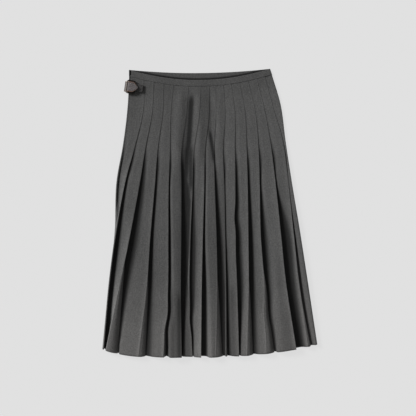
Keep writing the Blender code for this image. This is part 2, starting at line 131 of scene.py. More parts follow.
def soft_path(corners: Sequence[Point], count: int) -> list[Point]:
    """A smooth path through corners that never swings past them.

    Args:
        corners: The points that the path goes through.
        count: How many points the path has between its two ends.

    Returns:
        The points between the two ends.
    """
    given = np.array(corners)
    steps = np.maximum(np.hypot(*np.diff(given, axis=0).T), TINY)
    place = np.concatenate([[0.0], np.cumsum(steps)])
    grade = np.diff(given, axis=0) / steps[:, None]
    slope = np.zeros_like(given)
    slope[0], slope[-1] = grade[0], grade[-1]
    same = grade[:-1] * grade[1:] > 0
    total = np.where(same, grade[:-1] + grade[1:], 1.0)
    slope[1:-1] = np.where(same, 2 * grade[:-1] * grade[1:] / total, 0.0)
    wanted = place[-1] * np.arange(1, count + 1) / (count + 1)
    i = np.clip(np.searchsorted(place, wanted, side="right") - 1, 0, len(steps) - 1)
    s = ((wanted - place[i]) / steps[i])[:, None]
    width = steps[i][:, None]
    found = hermite(s, width, given[i], given[i + 1], slope[i], slope[i + 1])
    return [(float(x), float(z)) for x, z in found]


class Turn(Enum):
    """Which way a path goes round a circle."""

    LEFT = 1
    RIGHT = -1
    NONE = 0


@dataclass(frozen=True)
class Circle:
    """A turn in a cross-section, like a pulley that a belt goes round."""

    x: float
    z: float
    radius: float = 0.0
    turn: Turn = Turn.NONE

    @property
    def reach(self) -> float:
        """The radius, with the sign of its turn."""
        return self.turn.value * self.radius

    def run_to(self, other: "Circle") -> tuple[float, Point, Point]:
        """The straight run from this circle to the next one.

        Args:
            other: The next circle.

        Returns:
            The run's heading, and its two ends.
        """
        dx, dz = other.x - self.x, other.z - self.z
        across = other.reach - self.reach
        run = math.sqrt(max(dx * dx + dz * dz - across * across, TINY))
        heading = math.atan2(dz, dx) - math.atan2(across, run)
        nx, nz = -math.sin(heading), math.cos(heading)
        start = (self.x - self.reach * nx, self.z - self.reach * nz)
        end = (other.x - other.reach * nx, other.z - other.reach * nz)
        return heading, start, end

    def arc(self, heading_in: float, heading_out: float, steps: int, shortest: float) -> list[Point]:
        """Points round the circle.

        Args:
            heading_in: The heading that the path comes in on.
            heading_out: The heading that it leaves on.
            steps: How many steps the arc has.
            shortest: The shortest arc. A slight turn reaches along the runs beside it.

        Returns:
            The arc's points, one more than its steps.
        """
        turned = (heading_out - heading_in + math.pi) % (2 * math.pi) - math.pi
        if self.turn.value * turned < LONG_WAY:
            turned += self.turn.value * 2 * math.pi
        spread = max(0.0, shortest - self.radius * abs(turned))
        points = []
        for k in range(steps + 1):
            heading = heading_in + turned * k / steps
            ahead = (k / steps - 0.5) * spread
            x = self.x + self.reach * math.sin(heading) + ahead * math.cos(heading)
            z = self.z - self.reach * math.cos(heading) + ahead * math.sin(heading)
            points.append((x, z))
        return points


@dataclass(frozen=True)
class Belt:
    """A cross-section's path round turning circles."""

    circles: Sequence[Circle]
    steps: int
    shortest: float = 1.8

    def points(self, fill: Callable[[int, Point, Point], list[Point]] | None = None) -> list[Point]:
        """The path's points.

        Args:
            fill: Gives the points on the run after a circle, from its number and its ends.

        Returns:
            The points from the first circle's centre to the last one's.
        """
        runs = [a.run_to(b) for a, b in zip(self.circles, self.circles[1:])]
        turns = [[runs[0][1]]]
        for i, circle in enumerate(self.circles[1:-1], start=1):
            if circle.turn is Turn.NONE:
                turns.append([(circle.x, circle.z)])
            else:
                turns.append(circle.arc(runs[i - 1][0], runs[i][0], self.steps, self.shortest))
        turns.append([runs[-1][2]])
        found = list(turns[0])
        for i, turn in enumerate(turns[1:], start=1):
            found += turn
            if fill and i < len(turns) - 1:
                found += fill(i, turn[-1], turns[i + 1][0])
        return found


# Materials


class Value:
    """A node's output. Arithmetic on it adds Math nodes."""

    def __init__(self, graph: "Graph", socket: bpy.types.NodeSocket) -> None:
        """Wraps a socket of the graph."""
        self.graph = graph
        self.socket = socket

    def math(self, operation: str, *others: "Value | float") -> "Value":
        """This value and others through a Math node."""
        return self.graph.math(operation, self, *others)

    def __add__(self, other: "Value | float") -> "Value":
        """The sum."""
        return self.math("ADD", other)

    __radd__ = __add__

    def __sub__(self, other: "Value | float") -> "Value":
        """The difference."""
        return self.math("SUBTRACT", other)

    def __rsub__(self, other: "Value | float") -> "Value":
        """The difference, from a number."""
        return self.graph.math("SUBTRACT", other, self)

    def __mul__(self, other: "Value | float") -> "Value":
        """The product."""
        return self.math("MULTIPLY", other)

    __rmul__ = __mul__

    def ramp(self, low: float, high: float) -> "Value":
        """A soft ramp.

        Args:
            low: The value up to which it is 0.
            high: The value from which it is 1.

        Returns:
            The ramp.
        """
        sockets = {"Value": self, "From Min": low, "From Max": high}
        settings = {"interpolation_type": "SMOOTHSTEP"}
        return self.graph.node("ShaderNodeMapRange", settings, sockets)

    def sine(self) -> "Value":
        """The sine."""
        return self.math("SINE")


class Graph:
    """A material's nodes, from its coordinates to its shader."""

    mix_colours = (6, 7, 2)  # the Mix node's two colour inputs and its colour output

    def __init__(self, name: str) -> None:
        """Makes an empty material of that name."""
        self.material = bpy.data.materials.new(name)
        self.material.use_nodes = True
        self.tree = self.material.node_tree
        self.tree.nodes.clear()

    def node(
        self, kind: str, settings: dict | None = None, sockets: dict | None = None, output: str | int = 0
    ) -> Value | None:
        """Adds a node.

        Args:
            kind: The node's type.
            settings: Its properties, which are set first.
            sockets: What each input holds or is linked to, by name or number.
            output: The output that is wanted, by name or number.

        Returns:
            That output, or None for the node that ends the material.
        """
        added = self.tree.nodes.new(kind)
        for key, value in (settings or {}).items():
            setattr(added, key, value)
        for key, value in (sockets or {}).items():
            if isinstance(value, Value):
                self.tree.links.new(value.socket, added.inputs[key])
            else:
                added.inputs[key].default_value = value
        return Value(self, added.outputs[output]) if added.outputs else None

    def math(self, operation: str, *values: Value | float) -> Value:
        """Numbers and outputs through a Math node."""
        return self.node("ShaderNodeMath", {"operation": operation}, dict(enumerate(values)))

    def cloth_place(self) -> Value:
        """The place on the flat cloth, in metres: across it, and down from its top."""
        return self.node("ShaderNodeUVMap", {"uv_map": CLOTH_MAP})

    def object_place(self) -> Value:
        """The place on the piece, in metres."""
        return self.node("ShaderNodeTexCoord", output="Object")

    def parts(self, vector: Value) -> tuple[Value, Value, Value]:
        """A vector's three parts.

        Args:
            vector: The vector.

        Returns:
            Its x, y and z.
        """
        first = self.node("ShaderNodeSeparateXYZ", sockets={0: vector})
        outputs = first.socket.node.outputs
        return first, Value(self, outputs[1]), Value(self, outputs[2])

    def joined(self, x: Value | float, y: Value | float, z: Value | float = 0.0) -> Value:
        """A vector from three parts."""
        return self.node("ShaderNodeCombineXYZ", sockets={0: x, 1: y, 2: z})

    def mark(self, name: str) -> Value:
        """A value that the mesh holds for each of its points."""
        return self.node("ShaderNodeAttribute", {"attribute_name": name}, output="Fac")

    def noise(self, vector: Value, scale: float, detail: float = 2.0, rough: float = 0.5) -> Value:
        """Soft noise from 0 to 1."""
        sockets = {"Vector": vector, "Scale": scale, "Detail": detail, "Roughness": rough}
        return self.node("ShaderNodeTexNoise", {"noise_dimensions": "3D"}, sockets)

    def blend(self, a: Value | tuple, b: Value | tuple, share: Value | float) -> Value:
        """A colour that goes from a to b.

        Args:
            a: The colour at a share of 0.
            b: The colour at a share of 1.
            share: How much of b it has.

        Returns:
            The colour.
        """
        settings = {"data_type": "RGBA", "blend_type": "MIX"}
        first, second, result = self.mix_colours
        sockets = {0: share, first: self.colour(a), second: self.colour(b)}
        return self.node("ShaderNodeMix", settings, sockets, result)

    def shaded(self, a: Value | tuple, factor: Value) -> Value:
        """A colour times a number."""
        sockets = {0: self.colour(a), 1: self.joined(factor, factor, factor)}
        return self.node("ShaderNodeVectorMath", {"operation": "MULTIPLY"}, sockets)

    @staticmethod
    def colour(value: Value | tuple) -> Value | tuple:
        """A colour as a socket takes it."""
        return value if isinstance(value, Value) or len(value) == 4 else (*value, 1.0)

    def bump(self, height: Value, distance: float, strength: float = 1.0) -> Value:
        """A normal from a height."""
        sockets = {"Height": height, "Distance": distance, "Strength": strength}
        return self.node("ShaderNodeBump", sockets=sockets, output="Normal")

    def finish(self, sockets: dict) -> bpy.types.Material:
        """Ends the material in a Principled shader.

        Args:
            sockets: What each input of the shader holds or is linked to.

        Returns:
            The material.
        """
        shader = self.node("ShaderNodeBsdfPrincipled", sockets=sockets)
        self.node("ShaderNodeOutputMaterial", sockets={"Surface": shader})
        return self.material


@dataclass(frozen=True)
class Fibres:
    """One unevenness of the cloth: how fine it is across and down it, and its seed."""

    across: float
    down: float
    seed: float = 0.0
    detail: float = 2.0
    rough: float = 0.5

    def on(self, graph: Graph, u: Value, v: Value) -> Value:
        """Its noise at each place of the flat cloth."""
        place = graph.joined(u * self.across, v * self.down, self.seed)
        return graph.noise(place, 1.0, self.detail, self.rough)


@dataclass(frozen=True)
class WoolTwill:
    """Charcoal wool twill, heathered from dark and light fibres.

    shares is how much of the tone comes from the yarns, the picks and the heather, and relief
    how much of the height comes from the ribs, the yarns and the picks. clouds is the seed and
    the fineness of the broadest unevenness. A pair whose name starts with left, top, hem or warm
    and ends in from is where, in metres across the cloth or down it, a change starts and ends.
    A pair that ends in shade, and roughness, is a value and what is added to it.
    """

    dark: tuple[float, float, float] = (0.052, 0.052, 0.0515)
    light: tuple[float, float, float] = (0.125, 0.124, 0.122)
    warm: tuple[float, float, float] = (0.100, 0.094, 0.090)
    rib: float = 0.0011
    rib_slant: Point = (0.82, 0.57)
    yarns: Fibres = Fibres(900, 260)
    picks: Fibres = Fibres(240, 900, 5)
    heather: Fibres = Fibres(380, 380, 9, rough=0.6)
    streaks: Fibres = Fibres(250, 50, 2)
    flecks: Fibres = Fibres(260, 200, 4, detail=1)
    clouds: Point = (1.3, 14.0)
    shares: tuple[float, float, float] = (0.25, 0.2, 0.55)
    contrast: float = 2.4
    streak: float = 0.45
    middle: float = 0.36
    rib_tone: float = 0.03
    cloud: float = 0.22
    fleck: float = 0.55
    warm_from: Point = (0.42, 0.72)
    warmth: float = 0.28
    gap_from: Point = (0.12, 0.85)
    gap_shade: float = 0.16
    painted_edge_light_gain: float = 0.3
    left_from: Point = (0.15, 0.6)
    left_shade: Point = (0.95, 0.08)
    top_from: Point = (0.0, 0.06)
    top_shade: Point = (0.9, 0.1)
    hem_from: Point = (0.46, 0.70)
    hem_left_from: Point = (0.42, 0.54)
    hem_fade: float = 0.75
    hem_light: float = 0.42
    relief: tuple[float, float, float] = (0.35, 0.5, 0.5)
    relief_height: float = 0.00022
    roughness: Point = (0.88, 0.12)

    def material(self, name: str) -> bpy.types.Material:
        """The cloth's material, which follows the flat cloth.

        Args:
            name: The material's name.

        Returns:
            The material.
        """
        graph = Graph(name)
        place = graph.cloth_place()
        u, v, _ = graph.parts(place)
        turn = 2 * math.pi / self.rib
        ribs = ((u * self.rib_slant[0] + v * self.rib_slant[1]) * turn).sine()
        yarns = self.yarns.on(graph, u, v)
        picks = self.picks.on(graph, u, v)
        heather = self.heather.on(graph, u, v)
        streaks = self.streaks.on(graph, u, v)
        broad = graph.noise(graph.joined(u, v, self.clouds[0]), self.clouds[1])
        tone = yarns * self.shares[0] + picks * self.shares[1] + heather * self.shares[2]
        tone = (tone - 0.5) * self.contrast + (streaks - 0.5) * self.streak + self.middle
        tone = tone + ribs * self.rib_tone
        colour = graph.blend(self.dark, self.light, tone.math("MAXIMUM", 0.0).math("MINIMUM", 1.0))
        colour = graph.blend(colour, self.warm, v.ramp(*self.warm_from) * self.warmth)
        # Painted shade from a mark on the mesh darkens the pleats' gaps, the creases and the inside of
        # the waist opening.
        shade = 1 - graph.mark("painted_shade").ramp(*self.gap_from) * (1 - self.gap_shade)
        flecks = self.flecks.on(graph, u, v)
        shade = shade * (1 + (broad - 0.5) * self.cloud + (flecks - 0.5) * self.fleck)
        # Painted highlight along the folded edges, and painted shade where the mark is below 0.
        shade = shade * (1 + graph.mark("painted_edge_light") * self.painted_edge_light_gain)
        shade = shade * (u.ramp(*self.left_from) * self.left_shade[1] + self.left_shade[0])
        shade = shade * (v.ramp(*self.top_from) * self.top_shade[1] + self.top_shade[0])
        to_left = 1 - u.ramp(*self.hem_left_from) * self.hem_fade
        shade = shade * (1 + v.ramp(*self.hem_from) * to_left * self.hem_light)
        height = ribs * self.relief[0] + yarns * self.relief[1] + picks * self.relief[2]
        return graph.finish(
            {
                "Base Color": graph.shaded(colour, shade),
                "Roughness": self.roughness[0] + (heather - 0.5) * self.roughness[1],
                "Normal": graph.bump(height, self.relief_height),
                "Specular IOR Level": 0.22,
                "Sheen Weight": 0.10,
                "Sheen Roughness": 0.45,
            }
        )


@dataclass(frozen=True)
class Leather:
    """Dark leather with a fine grain, brown at its cut edges.

    relief is how much of the height comes from the grain, the clouds and the sunk stitches. A
    pair that isn't a range is a value at its least and what is added to it.
    """

    face: tuple[float, float, float] = (0.084, 0.074, 0.075)
    worn: tuple[float, float, float] = (0.112, 0.099, 0.097)
    edge: tuple[float, float, float] = (0.120, 0.060, 0.034)
    grain_scale: float = 1500
    grain_edge: float = 0.12
    cloud_scale: float = 160
    wear_scale: float = 420
    wear_from: Point = (0.45, 0.75)
    wear: float = 0.5
    cloudy: Point = (0.8, 0.4)
    relief: tuple[float, float, float] = (0.6, 0.8, 2.5)
    relief_height: float = 0.00018
    roughness: Point = (0.42, 0.25)
    rim_roughness: float = 0.1

    def material(self, name: str) -> bpy.types.Material:
        """The leather's material, with a row of stitches along its edges.

        Args:
            name: The material's name.

        Returns:
            The material.
        """
        graph = Graph(name)
        place = graph.object_place()
        cells = graph.node(
            "ShaderNodeTexVoronoi",
            {"feature": "DISTANCE_TO_EDGE"},
            {"Vector": place, "Scale": self.grain_scale},
        )
        grain = cells.ramp(0.0, self.grain_edge)
        broad = graph.noise(place, self.cloud_scale, 3.0)
        worn = graph.noise(place, self.wear_scale).ramp(*self.wear_from)
        colour = graph.blend(self.face, self.worn, worn * self.wear)
        rim = graph.mark("rim")
        colour = graph.blend(colour, self.edge, rim)
        colour = graph.shaded(colour, self.cloudy[0] + broad * self.cloudy[1])
        thread = graph.mark("thread")
        height = grain * self.relief[0] + broad * self.relief[1] - thread * self.relief[2]
        return graph.finish(
            {
                "Base Color": colour,
                "Roughness": self.roughness[0] + (broad - 0.5) * self.roughness[1]
                + rim * self.rim_roughness,
                "Normal": graph.bump(height, self.relief_height),
                "Specular IOR Level": 0.4,
            }
        )


@dataclass(frozen=True)
class AgedBrass:
    """Brass gone nearly black, with a painted highlight on its outer bar, which faces the light."""

    dull: tuple[float, float, float] = (0.022, 0.019, 0.017)
    painted_bar_highlight: tuple[float, float, float] = (0.21, 0.19, 0.17)
    bar: Point = (-0.2065, -0.2045)
    cloud_scale: float = 260
    scratch_scale: float = 1400
    scratch_height: float = 0.00005
    shine: Point = (0.7, 0.5)
    roughness: Point = (0.42, 0.25)

    def material(self, name: str) -> bpy.types.Material:
        """The metal's material.

        Args:
            name: The material's name.

        Returns:
            The material.
        """
        graph = Graph(name)
        place = graph.object_place()
        cloud = graph.noise(place, self.cloud_scale, 3.0)
        scratch = graph.noise(place, self.scratch_scale)
        x, _, _ = graph.parts(place)
        # Painted highlight on the outer bar, which faces the light.
        painted_bar_highlight = (1 - x.ramp(*self.bar)) * (cloud * self.shine[1] + self.shine[0])
        colour = graph.blend(self.dull, self.painted_bar_highlight, painted_bar_highlight.math("MINIMUM", 1.0))
        return graph.finish(
            {
                "Base Color": colour,
                "Metallic": 0.8,
                "Roughness": self.roughness[0] + cloud * self.roughness[1],
                "Normal": graph.bump(scratch, self.scratch_height),
            }
        )


# Shape of the whole skirt


@dataclass(frozen=True)
class Outline:
    """The laid skirt's outline, and how its cloth lies.

    stations are places down the cloth, from 0 at the band's seam to 1 at the hem, and a tuple
    of seven holds a value for each of them. centring moves the whole skirt to its place in the
    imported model's frame.
    """

    stations: tuple[float, ...] = (0.0, 0.11, 0.24, 0.386, 0.57, 0.753, 0.96)
    left_edge: tuple[float, ...] = (-203, -207, -218, -235, -239.5, -254, -267.5)
    right_edge: tuple[float, ...] = (155.5, 177.5, 189.5, 204.5, 225, 244, 264.5)
    hip: float = 0.24
    upper: float = 0.386
    waist_middle: float = -26
    waist_half: float = 176.5
    waist_top: float = 361
    waist_slope: float = 0.009
    waist_flare: float = 5.5
    front_dip: float = 27
    back_dip: float = 9
    band_height: float = 16
    band_seam: float = 0.3
    hem_low: float = -360.5
    hem_turn: float = -40
    hem_rise_left: float = 20
    hem_rise_right: float = 31
    hem_bend_left: float = 5
    hem_bend_right: float = 2.4
    wall: float = 1.0
    layer: float = 1.45
    front_clearance: float = 0.1
    hip_margin: float = 0.01
    strap_lift: float = 2.75
    strap_place: Point = (-185, 315)
    strap_half: Point = (26, 34)
    strap_reach: float = 75
    centring: tuple[float, float, float] = (0.8, 0.3, 0.01)

    @property
    def fold_radius(self) -> float:
        """The radius of a pressed fold."""
        return self.layer / 2

    @property
    def back_top(self) -> float:
        """The height of the back's upper side."""
        return self.wall + 2 * self.layer

    @property
    def front_base(self) -> float:
        """The height of the front's lowest layer."""
        return self.back_top + self.band_seam + self.wall / 2 + self.front_clearance

    @property
    def side_seam(self) -> float:
        """The height at which the front meets the back."""
        return self.back_top + self.band_seam / 2

    def read(self, values: Sequence[float], t: float) -> float:
        """A value given at the stations, read at t."""
        return along(values, t, self.stations)

    def opened(self, t: float) -> float:
        """How far the pleats have opened at t, from 0 at the hip to 1."""
        return float(smooth_step(self.hip - self.hip_margin, self.upper, t))

    def hem_y(self, x: Number) -> Number:
        """The hem's line, which rises towards the two sides.

        Args:
            x: Places from left to right.

        Returns:
            How far towards the waist the hem is at each of them.
        """
        side = x - self.hem_turn
        right = np.maximum(side, 0) / (self.right_edge[-1] - self.hem_turn)
        left = np.maximum(-side, 0) / (self.hem_turn - self.left_edge[-1])
        rise = self.hem_rise_right * right**self.hem_bend_right
        return self.hem_low + rise + self.hem_rise_left * left**self.hem_bend_left

    def waist_y(self, x: Number, dip: Number) -> Number:
        """The waistband's top edge, which sags by dip in the middle."""
        share = np.minimum(1.0, abs(x - self.waist_middle) / self.waist_half)
        return self.waist_top + self.waist_slope * (x - self.waist_middle) - dip * (1 - share * share)

    def down_y(self, x: Number, t: float, dip: float, shorter: float = 0.0) -> Number:
        """Where a point of a panel lies, t of the way from the band's seam to the hem."""
        top = self.waist_y(x, dip) - self.band_height - self.band_seam
        return mix(top, self.hem_y(x) + shorter, t)

    def lift(self, x: Number, y: Number) -> Number:
        """How far the cloth over the strap's root stands clear of it.

        Args:
            x: Places from left to right.
            y: The same places' distances towards the waist.

        Returns:
            How far the cloth is raised at each of them.
        """
        past_x = np.maximum(0.0, abs(x - self.strap_place[0]) - self.strap_half[0])
        past_y = np.maximum(0.0, abs(y - self.strap_place[1]) - self.strap_half[1])
        return self.strap_lift * (1 - smooth_step(0, self.strap_reach, np.hypot(past_x, past_y)))


@dataclass(frozen=True)
class Swell:
    """A broad soft fold that runs down from the waistband."""

    top_x: float
    low_x: float
    height: float
    width: float


@dataclass(frozen=True)
class Crease:
    """A soft ridge, or a trough where its height is below 0, along a line on the cloth."""

    start: Point
    end: Point
    width: float
    height: float
    fade: float = 40
    shade: float = 0.0

    def strength_at(self, x: np.ndarray, y: np.ndarray) -> np.ndarray:
        """How strong the crease is at each place.

        Args:
            x: The places' distances to the right.
            y: The places' distances towards the waist.

        Returns:
            The strengths, from 0 to 1 on the crease's line.
        """
        run = Vector(self.end) - Vector(self.start)
        length = run.length
        ahead_x, ahead_y = run / length
        down = (x - self.start[0]) * ahead_x + (y - self.start[1]) * ahead_y
        across = (x - self.start[0]) * ahead_y - (y - self.start[1]) * ahead_x
        ends = smooth_step(-self.fade, self.fade / 2, down) * (
            1 - smooth_step(length - self.fade / 2, length + self.fade, down)
        )
        return ends * np.exp(-((across / self.width) ** 2))


@dataclass
class ClothSheet:
    """A grid of places that becomes a thin sheet of wool.

    places is rows by columns by 3, in millimetres, spread the place on the flat cloth in
    metres, marks hold a value for each point, and fullness is each row's share of the wall.
    """

    name: str
    places: np.ndarray
    spread: np.ndarray
    marks: dict[str, np.ndarray] = field(default_factory=dict)
    fullness: np.ndarray | None = None

    def mesh(self) -> bpy.types.Mesh:
        """The sheet as a mesh, from a grid whose points go to their places.

        Returns:
            The mesh, with the flat cloth as its UV map and the marks as its attributes.
        """
        rows, columns = self.places.shape[:2]
        sheet = bmesh.new()
        uv = sheet.loops.layers.uv.new(CLOTH_MAP)
        layers = {mark: sheet.verts.layers.float.new(mark) for mark in self.marks}
        group = sheet.verts.layers.deform.verify() if self.fullness is not None else None
        bmesh.ops.create_grid(sheet, x_segments=columns - 1, y_segments=rows - 1, size=1)
        spots = {}
        for vertex in sheet.verts:
            i = round((vertex.co.x + 1) / 2 * (columns - 1))
            j = round((vertex.co.y + 1) / 2 * (rows - 1))
            spots[vertex] = (j, i)
            vertex.co = self.places[j, i] * MM
            for mark, layer in layers.items():
                vertex[layer] = float(self.marks[mark][j, i])
            if group:
                vertex[group][0] = float(self.fullness[j])
        for face in sheet.faces:
            face.smooth = True
            for loop in face.loops:
                loop[uv].uv = self.spread[spots[loop.vert]]
        mesh = bpy.data.meshes.new(self.name)
        sheet.to_mesh(mesh)
        sheet.free()
        return mesh


def add_piece(
    mesh: bpy.types.Mesh, material: bpy.types.Material, node: str
) -> bpy.types.Object:
    """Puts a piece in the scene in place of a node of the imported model.

    Args:
        mesh: The piece's mesh, which gives it its name.
        material: Its material.
        node: The node that it stands for.

    Returns:
        The piece.
    """
    piece = bpy.data.objects.new(mesh.name, mesh)
    mesh.materials.append(material)
    bpy.context.scene.collection.objects.link(piece)
    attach(piece, "root")
    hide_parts(node)
    return piece


def thicken(piece: bpy.types.Object, thickness: float, uneven: bool = False) -> None:
    """Gives a sheet a wall, with the sheet in its middle.

    Args:
        piece: The sheet.
        thickness: The wall's thickness where it is whole.
        uneven: Whether the mesh's own fullness thins it in places.
    """
    wall = piece.modifiers.new("wall", "SOLIDIFY")
    wall.thickness = thickness * MM
    wall.offset = 0
    wall.use_even_offset = False
    if uneven:
        wall.vertex_group = piece.vertex_groups.new(name="fullness").name


def round_edges(piece: bpy.types.Object, width: float, segments: int) -> None:
    """Rounds a piece's sharp edges.

    Args:
        piece: The piece.
        width: How far in from an edge the rounding starts.
        segments: How many steps it has.
    """
    bevel = piece.modifiers.new("rounded", "BEVEL")
    bevel.width = width * MM
    bevel.segments = segments
    bevel.limit_method = "ANGLE"
    bevel.angle_limit = math.radians(SHARP_DEG)


def run_lengths(places: np.ndarray) -> np.ndarray:
    """How far along its row each place is, in millimetres."""
    steps = np.linalg.norm(np.diff(places, axis=1), axis=2)
    return np.concatenate([np.zeros((len(places), 1)), np.cumsum(steps, axis=1)], axis=1)


def both_ways(shares: Sequence[float]) -> np.ndarray:
    """Shares of a half width on one side, mirrored to the other, with the middle between them."""
    return np.array([*(-share for share in reversed(shares)), 0, *shares])


def wander(places: np.ndarray, scale: float, seed: float) -> np.ndarray:
    """Slow unevenness from -1 to 1 over a grid of places, the same through all layers.

    Args:
        places: The grid of places.
        scale: How far apart its ups and downs are, in millimetres.
        seed: Which unevenness it is.

    Returns:
        The unevenness at each place.
    """
    found = np.zeros(places.shape[:2])
    for j, row in enumerate(places):
        for i, place in enumerate(row):
            found[j, i] = noise.noise(Vector((place[0] / scale, place[1] / scale, seed)))
    return found


@dataclass(frozen=True)
class Pleat:
    """A pleat of the front.

    folds is the folded edge's distance from the middle line at each station. gaps is the
    opening beside it at the four lowest stations. valley is how far right of the edge the
    inner fold lies near the hem, and rise how high the edge stands beside the others. rolls
    is the width over which the face left of the edge rises, at the four lowest stations, and
    droop how far its start lies below the edge, or above it where it falls. glow is how much
    painted highlight the face has at the edge, or painted shade below 0. side is how full its
    side wall lies near the hem, and how much of its painted shade is taken away there, from 0
    to 1. opens is where down the panel its gap starts to get painted shade, and glow_from where
    its painted highlight starts.
    """

    folds: tuple[float, ...]
    gaps: tuple[float, ...]
    valley: float
    rise: float
    rolls: tuple[float, ...] = (4, 5, 6, 6)
    droop: float = 2.2
    glow: float = 1.0
    side: float = 0.0
    opens: float = 0.0
    glow_from: float = 0.24


@dataclass(frozen=True)
class Kink:
    """A bend in a pleat's folded edge: its pleat, place, half length and shift to the right."""

    pleat: int
    t: float
    half: float
    shift: float


